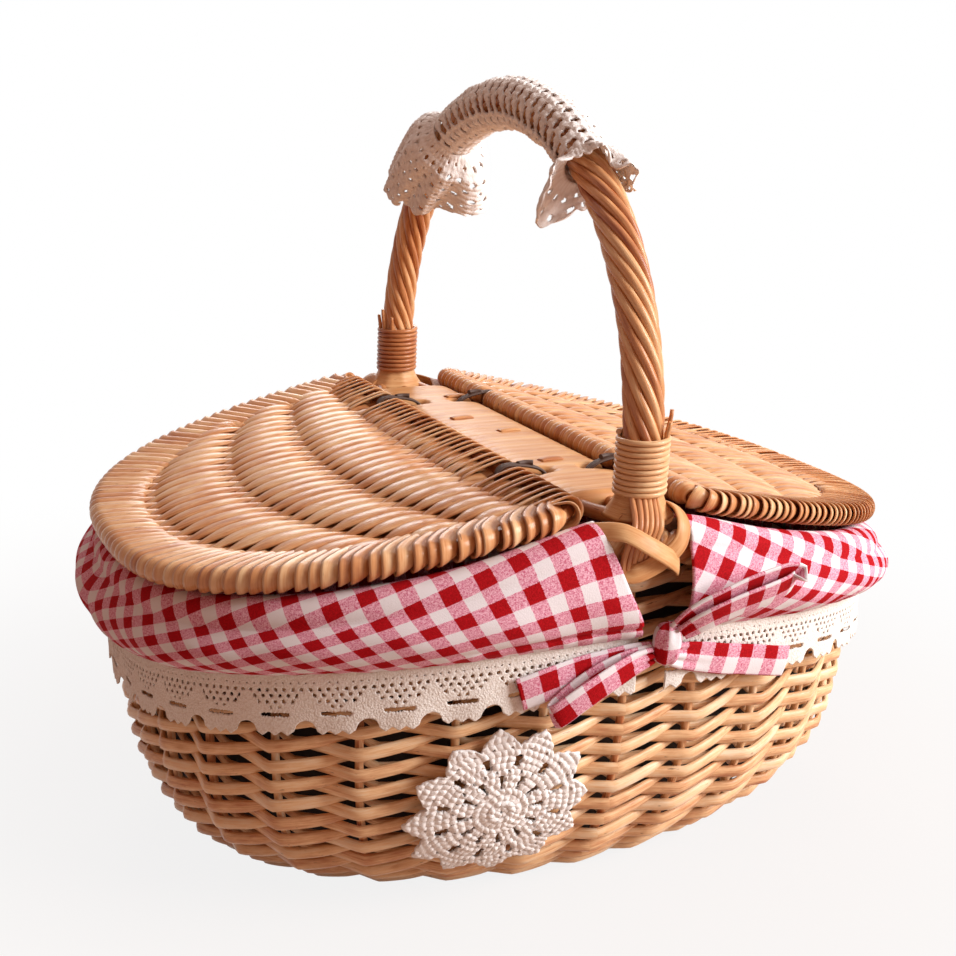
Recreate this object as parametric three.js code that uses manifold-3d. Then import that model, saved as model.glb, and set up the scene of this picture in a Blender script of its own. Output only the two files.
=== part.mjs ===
// Oval willow picnic basket: woven wall, two sloping hinged lids, roped bow handle, gingham liner.
// Millimetres, +Z up. X runs along the basket, Y across it, and the origin is under its middle.
import * as THREE from 'three';
import { mergeVertices } from 'three/addons/utils/BufferGeometryUtils.js';
import Module from 'manifold-3d';

const wasm = await Module();
wasm.setup();

// Clearances
const SEAT_GAP = 0.3; // between pieces that touch
const HINGE_GAP = 1; // between a lid's rolled edge and the bridge
const NOTCH_GAP = 1; // beside a hinge tie, in the lid and in the bridge
const CLOTH_GAP = 0.8; // between layers of cloth
const BAG_GAP = 2; // between the hanging liner and the wall
const SKIRT_GAP = 1.2; // between the turned-over skirt and the rim

// Base and wall, measured on the outside of the weave
const BASE_HALF_LENGTH = 153;
const BASE_HALF_WIDTH = 104;
const BASE_POWER = 2.05;
const BASE_THICKNESS = 8;
const FOOT_HEIGHT = 12;
const FOOT_RELIEF = 2;
const FOOT_TWISTS = 26;
const WALL_HALF_LENGTH = 188;
const WALL_HALF_WIDTH = 141;
const WALL_POWER = 2.57;
const WALL_FULLNESS = 4.7; // how fast the wall swells out above the base
const WALL_THICKNESS = 8;
const STAKE_COUNT = 30;
const STAKE_START = THREE.MathUtils.degToRad(-90.8); // where the first stake stands
const WEAVE_ROWS = 11.5; // from the foot to the rim at the basket's ends
const WEAVE_ROWS_SHOWN = 9; // below the lace
const WEAVE_ROW_START = 0.6; // from the foot up to the first row, as a share of the rows' pitch
const WEAVE_RELIEF = 1.6; // of a strand in front of a stake
const WEAVE_DEPTH = 2.6; // how far it lies back between stakes

// Rim, highest at the handle and falling to both ends with the lids
const RIM_HEIGHT = 179.8;
const RIM_RADIUS = 8.5;
const RIM_CREST = 20; // length over which the rim turns level at the handle
const RIM_TWISTS = 24;
const RIM_RELIEF = 0.5;

// Lids
const LID_HALF_LENGTH = 204;
const LID_HALF_WIDTH = 142;
const LID_POWER = 2.63;
const LID_SLOPE = THREE.MathUtils.degToRad(12.2);
const LID_BORDER_RADIUS = 7;
const LID_CORNER_RADIUS = 9;
const LID_ROD_RADIUS = 3.5;
const LID_RIB_RADIUS = 2;
const HOOP_STEPS = 16;
const LID_RIB_COUNT = 3;
const LID_RIB_STEPS = 4;
const LID_RIB_BOW = 0.5; // how far a rib's ends come back to the hinge, as a share of its place at mid length
const LID_PANEL_STEPS = 4;
const LID_PANEL_CREST = 10.4; // panel thickness over a rib
const LID_PANEL_VALLEY = 6; // and between ribs

// Bridge between the lids
const BRIDGE_HALF_WIDTH = 24;
const BRIDGE_THICKNESS = 11;
const BRIDGE_HALF_LENGTH = 112;
const BRIDGE_ROD_RADIUS = 3.5;
const BRIDGE_ROD_SPREAD = 15;
const BRIDGE_LIFT = 0.5; // of the wrapping over the rods' middle
const TIE_SPACING = 144;
const TIE_WIDTH = 5;
const TIE_THICKNESS = 1.6;

// Handle
const LEG_INSET = 7; // from the middle of the rim in to the middle of a leg
const HANDLE_SPRING = 28; // from the rim up to where the bow starts to curve
const HANDLE_RISE = 142;
const ROPE_RADIUS = 8.6;
const ROPE_RELIEF = 0.5;
const ROPE_STRANDS = 8;
const ROPE_SLANT = THREE.MathUtils.degToRad(22);
const CORE_RADIUS = 4;
const FOOT_STRAND_HALF_WIDTH = 8.5;
const FOOT_STRAND_HALF_DEPTH = 2.2;
const FOOT_STRAND_DROP = 25; // below the top of the rim
const WHIP_TURNS = 10;
const WHIP_RADIUS = 1; // of the whipping strand
const WHIP_PITCH = 2.5;
const WHIP_SEAT = 0.75; // from the swelling strands out to the whipping
const WHIP_LIFT = 13; // from the rim up to the lowest turn
const LASHING_WIDTH = 6;
const LASHING_THICKNESS = 2;
const LASHING_DROP = 34; // below the top of the rim

// Liner, lace and ties
const CLOTH_THICKNESS = 1.6;
const SKIRT_PUFF = 8; // how far the skirt stands out below the rim
const SLIT_LEFT_TOP = 23; // from the handle's middle to the left edge of a slit, at the rim
const SLIT_LEFT_LOW = 5; // and at the hem
const SLIT_RIGHT_TOP = 20;
const SLIT_RIGHT_LOW = 13;
const LACE_END_DROP = 37.2; // from the rim's top down to the lace's upper edge, at the basket's ends
const LACE_SIDE_DROP = 44.8; // and at the handle
const LACE_END_ROUND = 0.25; // how widely the lace's edges turn at the ends
const LACE_WIDTH = 28; // below the skirt's edge
const LACE_OVERLAP = 5; // sewn on over the skirt
const LACE_THICKNESS = 1.2;
const LACE_SCALLOP = 1.6;
const LACE_SCALLOP_COUNT = 16;
const RIBBON_THICKNESS = 1.4;
const RIBBON_WIDTH = 15;
const KNOT_RADIUS = 9;
const KNOT_DEPTH = 7;
const KNOT_X = 7;
const KNOT_DROP = 48.8; // below the top of the rim
const TAIL_LEFT_REACH = 66;
const TAIL_LEFT_FALL = 17;
const TAIL_RIGHT_REACH = 75;
const TAIL_RIGHT_FALL = 23;
const LOOP_LEFT_REACH = 54;
const LOOP_LEFT_FALL = 26;
const LOOP_LEFT_OPENING = 6;
const LOOP_RIGHT_REACH = 59;
const LOOP_RIGHT_RISE = 26;
const LOOP_RIGHT_OPENING = 10;

// Crochet doily and handle cover
const DOILY_RADIUS = 41;
const DOILY_POINTS = 11;
const DOILY_NOTCH = 0.84; // how far in the edge goes between petals, as a share of the radius
const DOILY_RINGS = [[0.24, 0.5, 0.3], [0.62, 0.78, 0.24]]; // holes: inner and outer share, half width
const DOILY_THICKNESS = 2;
const DOILY_X = -60;
const DOILY_Z = 56;
const DOILY_SEAT = 0.9; // from the crest of the weave out to the doily
const COVER_THICKNESS = 2;
const COVER_FRONT_ANGLE = THREE.MathUtils.degToRad(33); // of the bow, from its top to the front
const COVER_REAR_ANGLE = THREE.MathUtils.degToRad(46); // and to the rear
const RUFFLE_LENGTH = 28;
const RUFFLE_FLARE = 8;
const RUFFLE_FOLDS = 6;
const RUFFLE_FOLD_DEPTH = 2.5;

// Derived sizes
const slope = Math.tan(LID_SLOPE);
const hingeX = BRIDGE_HALF_WIDTH + HINGE_GAP + LID_BORDER_RADIUS;
const clothOver = SKIRT_GAP + CLOTH_THICKNESS + SEAT_GAP;
const borderRise = LID_BORDER_RADIUS / Math.cos(LID_SLOPE);
const hingeZ = RIM_HEIGHT + slope * (RIM_CREST - hingeX) + borderRise + clothOver;
const legY = WALL_HALF_WIDTH - LEG_INSET;
const springZ = RIM_HEIGHT + HANDLE_SPRING;
const knotZ = RIM_HEIGHT - KNOT_DROP;
const laceOffset = FOOT_RELIEF + CLOTH_THICKNESS + 2 * SEAT_GAP;
const laceOuter = laceOffset + LACE_THICKNESS;
const ropeOuter = ROPE_RADIUS + ROPE_RELIEF;
const coverInner = ropeOuter + 2 * SEAT_GAP;

const lerp = THREE.MathUtils.lerp;
const vec = (x, y, z) => new THREE.Vector3(x, y, z);
const fullTurn = 2 * Math.PI;
const spread = (count) => Array.from({ length: count }, (_, i) => i);
const turnSteps = (count) => spread(count).map((i) => (fullTurn * i) / count);

// Solids

// Turns a list of points and triangles into a geometry whose faces point out.
function closedGeometry(points, triangles) {
  const geometry = new THREE.BufferGeometry();
  const numbers = points.flatMap((p) => [p.x, p.y, p.z]);
  geometry.setAttribute('position', new THREE.Float32BufferAttribute(numbers, 3));
  let volume = 0;
  for (const [a, b, c] of triangles) {
    volume += points[a].dot(points[b].clone().cross(points[c]));
  }
  geometry.setIndex(triangles.flatMap(([a, b, c]) => (volume > 0 ? [a, b, c] : [a, c, b])));
  geometry.computeVertexNormals();
  return geometry;
}

// Skin through closed sections of equal point counts; open ends are capped, closed ones meet.
function loft(sections, closed = false) {
  const count = sections[0].length;
  const points = sections.flat();
  const triangles = [];
  const spans = closed ? sections.length : sections.length - 1;
  for (let i = 0; i < spans; i++) {
    const near = i * count;
    const far = ((i + 1) % sections.length) * count;
    for (let j = 0; j < count; j++) {
      const k = (j + 1) % count;
      triangles.push([near + j, near + k, far + k], [near + j, far + k, far + j]);
    }
  }
  if (!closed) {
    const last = (sections.length - 1) * count;
    capTriangles(sections[0]).forEach(([a, b, c]) => triangles.push([c, b, a]));
    capTriangles(sections.at(-1)).forEach(([a, b, c]) => triangles.push([last + a, last + b, last + c]));
  }
  return closedGeometry(points, triangles);
}

// Triangles over a flat section, turning the way its points run.
function capTriangles(section) {
  const normal = vec(0, 0, 0);
  section.forEach((p, i) => normal.add(p.clone().cross(section[(i + 1) % section.length])));
  const turn = new THREE.Quaternion().setFromUnitVectors(normal.normalize(), vec(0, 0, 1));
  const flat = section.map((p) => p.clone().applyQuaternion(turn))
    .map((p) => new THREE.Vector2(p.x, p.y));
  return THREE.ShapeUtils.triangulateShape(flat, []);
}

// Points of a closed section about a centre, along two axes.
function ringSection(centre, axisA, axisB, sides, reach) {
  return Array.from({ length: sides }, (_, j) => {
    const angle = (fullTurn * j) / sides;
    const [a, b] = reach(angle, j);
    return centre.clone().addScaledVector(axisA, a).addScaledVector(axisB, b);
  });
}

// Round rod along a curve.
function rod(curve, radius, steps, sides, closed = false) {
  const frames = curve.computeFrenetFrames(steps, closed);
  const stations = closed ? steps : steps + 1;
  const sections = Array.from({ length: stations }, (_, i) =>
    ringSection(curve.getPointAt(i / steps), frames.normals[i], frames.binormals[i], sides,
      (angle) => [radius * Math.cos(angle), radius * Math.sin(angle)]));
  return loft(sections, closed);
}

// Straight round rod along Y.
function straightRod(x, z, radius, halfLength, sides = 10) {
  return new THREE.CylinderGeometry(radius, radius, 2 * halfLength, sides).translate(x, 0, z);
}

// Flat band along a curve; its width follows the across direction, square to the curve.
function band(curve, width, thickness, across, steps) {
  const sections = spread(steps + 1).map((i) => {
    const along = curve.getTangentAt(i / steps);
    const wide = across.clone().projectOnPlane(along).normalize();
    const deep = along.clone().cross(wide);
    return [[1, 1], [-1, 1], [-1, -1], [1, -1]].map(([a, b]) => curve.getPointAt(i / steps)
      .addScaledVector(wide, (a * width) / 2).addScaledVector(deep, (b * thickness) / 2));
  });
  return loft(sections);
}

function solid(geometry) {
  const bare = geometry.clone();
  Object.keys(bare.attributes).filter((key) => key !== 'position')
    .forEach((key) => bare.deleteAttribute(key));
  const merged = mergeVertices(bare, 1e-4);
  return new wasm.Manifold(new wasm.Mesh({
    numProp: 3,
    vertProperties: new Float32Array(merged.attributes.position.array),
    triVerts: new Uint32Array(merged.index.array),
  }));
}

function geometryOf(manifold) {
  const mesh = manifold.getMesh();
  const geometry = new THREE.BufferGeometry();
  const numbers = new Float32Array(mesh.vertProperties);
  geometry.setAttribute('position', new THREE.BufferAttribute(numbers, 3));
  geometry.setIndex(new THREE.BufferAttribute(new Uint32Array(mesh.triVerts), 1));
  geometry.computeVertexNormals();
  return geometry;
}

function cut(geometry, ...tools) {
  return geometryOf(tools.reduce((body, tool) => body.subtract(solid(tool)), solid(geometry)));
}

// Materials and the scene graph

const willow = new THREE.MeshStandardMaterial({ color: 0xd3a066, roughness: 0.45 });
const brownWillow = new THREE.MeshStandardMaterial({ color: 0x4f2c17, roughness: 0.6 });
const gingham = new THREE.MeshStandardMaterial({ color: 0xc94a58, roughness: 0.9 });
const lace = new THREE.MeshStandardMaterial({ color: 0xeee2cb, roughness: 0.95 });
const crochet = new THREE.MeshStandardMaterial({ color: 0xf1e9da, roughness: 0.95 });

const basket = new THREE.Group();

function add(name, geometry, material, parent = basket) {
  const mesh = new THREE.Mesh(geometry, material);
  mesh.name = name;
  parent.add(mesh);
}

// Shape of the basket

// Point of an oval fuller than an ellipse, at an angle of its scaled circle.
function ovalPoint(halfLength, halfWidth, power, angle) {
  const c = Math.cos(angle);
  const s = Math.sin(angle);
  const reach = (Math.abs(c) ** power + Math.abs(s) ** power) ** (-1 / power);
  return new THREE.Vector2(halfLength * reach * c, halfWidth * reach * s);
}

// Width of such an oval at a distance along its length.
function ovalWidth(halfLength, halfWidth, power, x) {
  return halfWidth * (1 - Math.abs(x / halfLength) ** power) ** (1 / power);
}

const rimTop = (x) => RIM_HEIGHT - slope * (Math.hypot(x, RIM_CREST) - RIM_CREST);

function rimCentre(angle) {
  const p = ovalPoint(WALL_HALF_LENGTH, WALL_HALF_WIDTH, WALL_POWER, angle);
  return vec(p.x, p.y, rimTop(p.x) - RIM_RADIUS);
}

const wallTop = (angle) => rimCentre(angle).z - RIM_RADIUS - SEAT_GAP;

// Half length, half width and fullness of the wall at a share of its height.
function wallOval(rise) {
  const swell = 1 - (1 - Math.min(rise, 1)) ** WALL_FULLNESS;
  return [
    lerp(BASE_HALF_LENGTH, WALL_HALF_LENGTH, swell),
    lerp(BASE_HALF_WIDTH, WALL_HALF_WIDTH, swell),
    lerp(BASE_POWER, WALL_POWER, swell),
  ];
}

// Point at a height z on the wall, moved out by an offset.
function wallPoint(angle, z, offset) {
  const [a, b, power] = wallOval(z / wallTop(angle));
  const p = ovalPoint(a + offset, b + offset, power, angle);
  return vec(p.x, p.y, z);
}

// Point on the front of the wall at x and z, moved out by an offset.
function frontPoint(x, z, offset) {
  const [a, b, power] = wallOval(z / (rimTop(x) - 2 * RIM_RADIUS));
  return vec(x, -ovalWidth(a + offset, b + offset, power, x), z);
}

// Level direction out of the basket at an angle
function outward(angle) {
  return vec(Math.cos(angle) / WALL_HALF_LENGTH, Math.sin(angle) / WALL_HALF_WIDTH, 0).normalize();
}

// Base: a flat woven oval inside the roped foot
function makeBase() {
  const half = [BASE_HALF_LENGTH, BASE_HALF_WIDTH].map((size) => size - WALL_THICKNESS - SEAT_GAP);
  const outline = new THREE.Shape(turnSteps(40).map((angle) => ovalPoint(...half, BASE_POWER, angle)));
  return new THREE.ExtrudeGeometry(outline, { depth: BASE_THICKNESS, bevelEnabled: false });
}

// Foot: the lowest band of the wall, roped with slanting strands
function makeFoot() {
  const steps = 2 * FOOT_TWISTS;
  return loft(turnSteps(steps).map((angle, i) => {
    const swell = i % 2 ? FOOT_RELIEF : FOOT_RELIEF / 4;
    return [
      wallPoint(angle, 0, 0),
      wallPoint(angle + Math.PI / steps, FOOT_HEIGHT / 2, swell),
      wallPoint(angle, FOOT_HEIGHT, 0),
      wallPoint(angle, FOOT_HEIGHT, -WALL_THICKNESS),
      wallPoint(angle, 0, -WALL_THICKNESS),
    ];
  }), true);
}

// Wall: level rows of strands that swell in front of the stakes and lie back between them
function makeWall() {
  const foot = FOOT_HEIGHT + SEAT_GAP;
  const pitch = (wallTop(0) - FOOT_HEIGHT) / WEAVE_ROWS;
  const rows = spread(WEAVE_ROWS_SHOWN).map((k) => FOOT_HEIGHT + pitch * (k + WEAVE_ROW_START));
  return loft(turnSteps(2 * STAKE_COUNT).map((turn, i) => {
    const angle = STAKE_START + turn;
    const strand = i % 2 ? -WEAVE_DEPTH : WEAVE_RELIEF;
    const outside = rows.flatMap((z) =>
      [wallPoint(angle, z, strand), wallPoint(angle, z + pitch / 2, -WEAVE_DEPTH)]);
    const inside = [1, 0.5, 0.2, 0]
      .map((share) => wallPoint(angle, lerp(foot, wallTop(angle), share), -WALL_THICKNESS));
    return [wallPoint(angle, foot, -WEAVE_DEPTH), ...outside, wallPoint(angle, wallTop(angle), 0), ...inside];
  }), true);
}

// Rim: a roped roll on top of the wall
function makeRim() {
  const steps = 2 * RIM_TWISTS;
  return loft(turnSteps(steps).map((angle, i) => {
    const radius = RIM_RADIUS - (i % 2 ? RIM_RELIEF : 0);
    return ringSection(rimCentre(angle), outward(angle), vec(0, 0, 1), 8,
      (turn) => [radius * Math.cos(turn), radius * Math.sin(turn)]);
  }), true);
}

add('base_panel', makeBase(), willow);
add('foot_wale', makeFoot(), willow);
add('side_weave', makeWall(), willow);
add('rim_border', makeRim(), willow);

// Handle

const footY = WALL_HALF_WIDTH + RIM_RADIUS + SEAT_GAP + FOOT_STRAND_HALF_DEPTH;
const whipBase = RIM_HEIGHT + WHIP_LIFT;

const bowPoint = (angle) => vec(0, -legY * Math.cos(angle), springZ + HANDLE_RISE * Math.sin(angle));

// One leg's points, from under the rim, over its shoulder and up into the whipping.
function legPoints(side) {
  return [
    [footY, RIM_HEIGHT - FOOT_STRAND_DROP],
    [footY, RIM_HEIGHT - RIM_RADIUS],
    [footY - SEAT_GAP, RIM_HEIGHT],
    [lerp(legY, footY, 0.55), RIM_HEIGHT + 0.4 * WHIP_LIFT],
    [legY + SEAT_GAP, RIM_HEIGHT + 0.85 * WHIP_LIFT],
  ].map(([y, z]) => vec(0, side * y, z));
}

const bowSteps = 12;
const bowPoints = spread(bowSteps + 1).map((i) => bowPoint((Math.PI * i) / bowSteps));
const handlePoints = [...legPoints(-1), ...bowPoints, ...legPoints(1).reverse()];
const handleCurve = new THREE.CatmullRomCurve3(handlePoints);
const coreEnds = [-1, 1].map((side) => vec(0, side * legY, RIM_HEIGHT + SEAT_GAP));
const coreCurve = new THREE.CatmullRomCurve3([coreEnds[0], ...bowPoints, coreEnds[1]]);

// Twisted bundle of strands, flattened where it runs down outside the rim
function makeRope() {
  const steps = 42;
  const sides = 2 * ROPE_STRANDS;
  const turnPerStep = (handleCurve.getLength() * Math.tan(ROPE_SLANT)) / ROPE_RADIUS / steps;
  const sections = spread(steps + 1).map((i) => {
    const centre = handleCurve.getPointAt(i / steps);
    const along = handleCurve.getTangentAt(i / steps);
    const deep = vec(1, 0, 0).cross(along);
    const round = THREE.MathUtils.smoothstep(centre.z, RIM_HEIGHT - 1, whipBase - 1);
    return ringSection(centre, vec(1, 0, 0), deep, sides, (turn, j) => {
      const swell = 1 + ((j % 2 ? -1 : 1) * ROPE_RELIEF) / ROPE_RADIUS;
      const twist = turn - turnPerStep * i;
      return [
        lerp(FOOT_STRAND_HALF_WIDTH, ROPE_RADIUS, round) * swell * Math.cos(twist),
        lerp(FOOT_STRAND_HALF_DEPTH, ROPE_RADIUS, round) * swell * Math.sin(twist),
      ];
    });
  });
  return cut(loft(sections), rod(coreCurve, CORE_RADIUS + SEAT_GAP, 20, 6));
}

// Whipping: one strand wound round the foot of the handle
class Winding extends THREE.Curve {
  constructor(side) {
    super();
    this.side = side;
    this.radius = ropeOuter + WHIP_SEAT + WHIP_RADIUS;
  }

  getPoint(t) {
    const turn = fullTurn * WHIP_TURNS * t;
    const height = whipBase + WHIP_RADIUS + WHIP_PITCH * WHIP_TURNS * t;
    const bowHeight = Math.max(0, height - springZ) / HANDLE_RISE;
    const y = this.side * legY * Math.sqrt(1 - bowHeight ** 2);
    return vec(this.radius * Math.cos(turn), y + this.radius * Math.sin(turn), height);
  }
}

// Least clear distance between neighbouring turns of a winding.
function leastGap(curve, steps) {
  const points = curve.getPoints(steps * WHIP_TURNS);
  let least = Infinity;
  points.forEach((p, i) => {
    for (let j = i + Math.floor(steps / 2); j < points.length; j++) {
      least = Math.min(least, p.distanceTo(points[j]));
    }
  });
  return least - 2 * WHIP_RADIUS;
}

// Two split-willow bands that cross over the strands outside the rim
function makeLashing(side, direction, lift) {
  const top = RIM_HEIGHT;
  const shoulder = WALL_HALF_WIDTH + 0.6 * RIM_RADIUS;
  const over = footY + FOOT_STRAND_HALF_DEPTH + lift;
  const wallOut = WALL_HALF_WIDTH + WEAVE_RELIEF + LASHING_THICKNESS;
  const spanX = FOOT_STRAND_HALF_WIDTH + LASHING_THICKNESS;
  const route = [
    [-spanX - LASHING_WIDTH / 2, shoulder, top + LASHING_THICKNESS],
    [-spanX, over, top - RIM_RADIUS + LASHING_THICKNESS],
    [0, over + SEAT_GAP, top - 0.5 * LASHING_DROP],
    [spanX - 1, over, top - 0.75 * LASHING_DROP],
    [spanX, wallOut, top - LASHING_DROP],
  ].map(([x, y, z]) => vec(direction * x, side * y, z));
  return band(new THREE.CatmullRomCurve3(route), LASHING_WIDTH, LASHING_THICKNESS, vec(1, 0, 0), 10);
}

add('handle_rope', makeRope(), willow);
add('handle_core', rod(coreCurve, CORE_RADIUS, 20, 6), willow);
for (const [place, side] of [['front', -1], ['rear', 1]]) {
  const winding = new Winding(side);
  console.log(`${place} whipping: least gap between turns ${leastGap(winding, 24).toFixed(2)} mm`);
  add(`${place}_whipping`, rod(winding, WHIP_RADIUS, 10 * WHIP_TURNS, 4), willow);
  const first = SEAT_GAP + LASHING_THICKNESS / 2;
  add(`${place}_lashing_under`, makeLashing(side, -1, first), willow);
  add(`${place}_lashing_over`, makeLashing(side, 1, first + LASHING_THICKNESS + 2 * SEAT_GAP), willow);
}

// Bridge

const rodZ = rimTop(BRIDGE_ROD_SPREAD) + SEAT_GAP + BRIDGE_ROD_RADIUS;
const bridgeZ = rodZ + BRIDGE_LIFT;
const rodGap = BRIDGE_ROD_RADIUS + SEAT_GAP;

// Flat wrapped sleeve round three rods, open beside each hinge tie
function makeDeck() {
  const round = BRIDGE_THICKNESS / 2;
  const flat = BRIDGE_HALF_WIDTH - round;
  const section = new THREE.Shape();
  section.absarc(flat, 0, round, -Math.PI / 2, Math.PI / 2);
  section.absarc(-flat, 0, round, Math.PI / 2, (3 * Math.PI) / 2);
  const sweep = { depth: 2 * BRIDGE_HALF_LENGTH, bevelEnabled: false, curveSegments: 5 };
  const deck = new THREE.ExtrudeGeometry(section, sweep)
    .translate(0, 0, -BRIDGE_HALF_LENGTH).rotateX(Math.PI / 2).translate(0, 0, bridgeZ);
  const bores = [-1, 0, 1].map((i) => straightRod(i * BRIDGE_ROD_SPREAD, rodZ, rodGap, legY));
  const notchInner = BRIDGE_ROD_SPREAD - rodGap - TIE_THICKNESS - NOTCH_GAP;
  const notchWidth = TIE_WIDTH + 2 * NOTCH_GAP;
  const notches = [-1, 1].flatMap((sideX) => [-1, 1].map((sideY) =>
    new THREE.BoxGeometry(BRIDGE_HALF_WIDTH, notchWidth, 2 * BRIDGE_THICKNESS)
      .translate(sideX * (notchInner + BRIDGE_HALF_WIDTH / 2), (sideY * TIE_SPACING) / 2, bridgeZ)));
  return cut(deck, ...bores, ...notches);
}

// Stadium outline round the hinge stick and the bridge rod
function tieOutline(radius, PathClass) {
  const dx = hingeX - BRIDGE_ROD_SPREAD;
  const dz = hingeZ - rodZ;
  const lean = Math.atan2(dz, dx);
  const path = new PathClass();
  path.absarc(hingeX, hingeZ, radius, lean - Math.PI / 2, lean + Math.PI / 2);
  path.absarc(BRIDGE_ROD_SPREAD, rodZ, radius, lean + Math.PI / 2, lean + (3 * Math.PI) / 2);
  return path;
}

function makeTie(sideX, sideY) {
  const ring = tieOutline(rodGap + TIE_THICKNESS, THREE.Shape);
  ring.holes.push(tieOutline(rodGap, THREE.Path));
  const tie = new THREE.ExtrudeGeometry(ring, { depth: TIE_WIDTH, bevelEnabled: false, curveSegments: 4 })
    .translate(0, 0, -TIE_WIDTH / 2).rotateX(Math.PI / 2);
  return (sideX < 0 ? tie.rotateZ(Math.PI) : tie).translate(0, (sideY * TIE_SPACING) / 2, 0);
}

add('bridge_deck', makeDeck(), willow);
const middleHalf = legY - ropeOuter - SEAT_GAP;
for (const [place, sideX] of [['left', -1], ['middle', 0], ['right', 1]]) {
  const half = sideX ? WALL_HALF_WIDTH : middleHalf;
  const geometry = straightRod(sideX * BRIDGE_ROD_SPREAD, rodZ, BRIDGE_ROD_RADIUS, half);
  add(`bridge_rod_${place}`, geometry, willow);
}
for (const [lid, sideX] of [['left', -1], ['right', 1]]) {
  for (const [place, sideY] of [['front', -1], ['rear', 1]]) {
    add(`${lid}_hinge_tie_${place}`, makeTie(sideX, sideY), brownWillow);
  }
}

// Lids, each drawn flat with its hinge along Y through its own origin

const hoopHalfLength = LID_HALF_LENGTH - LID_BORDER_RADIUS;
const hoopHalfWidth = LID_HALF_WIDTH - LID_BORDER_RADIUS;
const cornerY = ovalWidth(hoopHalfLength, hoopHalfWidth, LID_POWER, hingeX);
const straightHalf = cornerY - LID_CORNER_RADIUS;

// Middle of the lid's border, from the front end of the straight edge round to the rear end
function hoopPath() {
  const startX = hingeX + LID_CORNER_RADIUS;
  const startY = ovalWidth(hoopHalfLength, hoopHalfWidth, LID_POWER, startX);
  const startAngle = Math.atan2(startY / hoopHalfWidth, startX / hoopHalfLength);
  const outline = spread(HOOP_STEPS + 1).map((i) => {
    const angle = lerp(-startAngle, startAngle, i / HOOP_STEPS);
    const p = ovalPoint(hoopHalfLength, hoopHalfWidth, LID_POWER, angle);
    return new THREE.Vector2(p.x - hingeX, p.y);
  });
  const bend = (...points) => new THREE.QuadraticBezierCurve(
    ...points.map(([x, y]) => new THREE.Vector2(x, y))).getPoints(4);
  const first = bend([0, -straightHalf], [0, -startY], [LID_CORNER_RADIUS, -startY]);
  const last = bend([LID_CORNER_RADIUS, startY], [0, startY], [0, straightHalf]);
  return [...first.slice(0, -1), ...outline, ...last.slice(1)].map((p) => vec(p.x, p.y, 0));
}

const hoopPoints = hoopPath();

// Round tube along points of the lid's plane
function flatTube(points, radius, sides, closed) {
  const sections = points.map((p, i) => {
    const last = points.length - 1;
    const before = points[closed ? (i + last) % points.length : Math.max(i - 1, 0)];
    const after = points[closed ? (i + 1) % points.length : Math.min(i + 1, last)];
    const out = after.clone().sub(before).normalize().cross(vec(0, 0, 1));
    return ringSection(p, out, vec(0, 0, 1), sides,
      (turn) => [radius * Math.cos(turn), radius * Math.sin(turn)]);
  });
  return loft(sections, closed);
}

const lidReach = hoopHalfLength - hingeX;
const ribShares = spread(LID_RIB_COUNT).map((i) => (i + 1) / (LID_RIB_COUNT + 1));

// Distance from the hinge at a place along it, for a share of the way out; ribs bow as the hoop does
function ribX(share, y) {
  return share * lidReach * (1 - LID_RIB_BOW * (y / hoopHalfWidth) ** 2);
}

// Middle line of a rib from hoop to hoop, with both ends trimmed
function ribPoints(share, trim) {
  let half = hoopHalfWidth;
  for (let i = 0; i < 8; i++) {
    half = ovalWidth(hoopHalfLength, hoopHalfWidth, LID_POWER, hingeX + ribX(share, half));
  }
  const points = spread(LID_RIB_STEPS + 1).map((i) => {
    const y = half * ((2 * i) / LID_RIB_STEPS - 1);
    return vec(ribX(share, y), y, 0);
  });
  for (const [end, next] of [[0, 1], [LID_RIB_STEPS, LID_RIB_STEPS - 1]]) {
    points[end].lerp(points[next], trim / points[end].distanceTo(points[next]));
  }
  return points;
}

// Woven panel, swelling over each rib, with its wrapped border, bored for the frame
function makeLidWeave() {
  const outline = new THREE.Shape(hoopPoints.map((p) => new THREE.Vector2(p.x, p.y)));
  const plate = new THREE.ExtrudeGeometry(outline, { depth: 2 * LID_PANEL_CREST, bevelEnabled: false })
    .translate(0, 0, -LID_PANEL_CREST);
  const waveSteps = 2 * (LID_RIB_COUNT + 1);
  const waves = spread(waveSteps + 1).map((i) => i / waveSteps);
  const half = (share) => {
    const wave = Math.cos(fullTurn * (LID_RIB_COUNT + 1) * share);
    return lerp(LID_PANEL_VALLEY, LID_PANEL_CREST, (1 + wave) / 2) / 2;
  };
  const wavy = loft(spread(LID_PANEL_STEPS + 1).map((i) => {
    const y = LID_HALF_WIDTH * ((2 * i) / LID_PANEL_STEPS - 1);
    return [
      ...waves.map((share) => vec(ribX(share, y), y, half(share))),
      ...waves.toReversed().map((share) => vec(ribX(share, y), y, -half(share))),
    ];
  }));
  const panel = solid(plate).intersect(solid(wavy));
  const body = panel.add(solid(flatTube(hoopPoints, LID_BORDER_RADIUS, 8, true)));
  const hoopBore = flatTube(hoopPoints, LID_ROD_RADIUS + SEAT_GAP, 6, false);
  const stickBore = straightRod(0, 0, LID_ROD_RADIUS + SEAT_GAP, straightHalf + SEAT_GAP);
  const ribBores = ribShares.map((share) =>
    flatTube(ribPoints(share, 0), LID_RIB_RADIUS + SEAT_GAP, 6, false));
  const notches = [-1, 1].map((side) =>
    straightRod(0, 0, LID_BORDER_RADIUS + NOTCH_GAP, TIE_WIDTH / 2 + NOTCH_GAP, 16)
      .translate(0, (side * TIE_SPACING) / 2, 0));
  return cut(geometryOf(body), hoopBore, stickBore, ...ribBores, ...notches);
}

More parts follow.
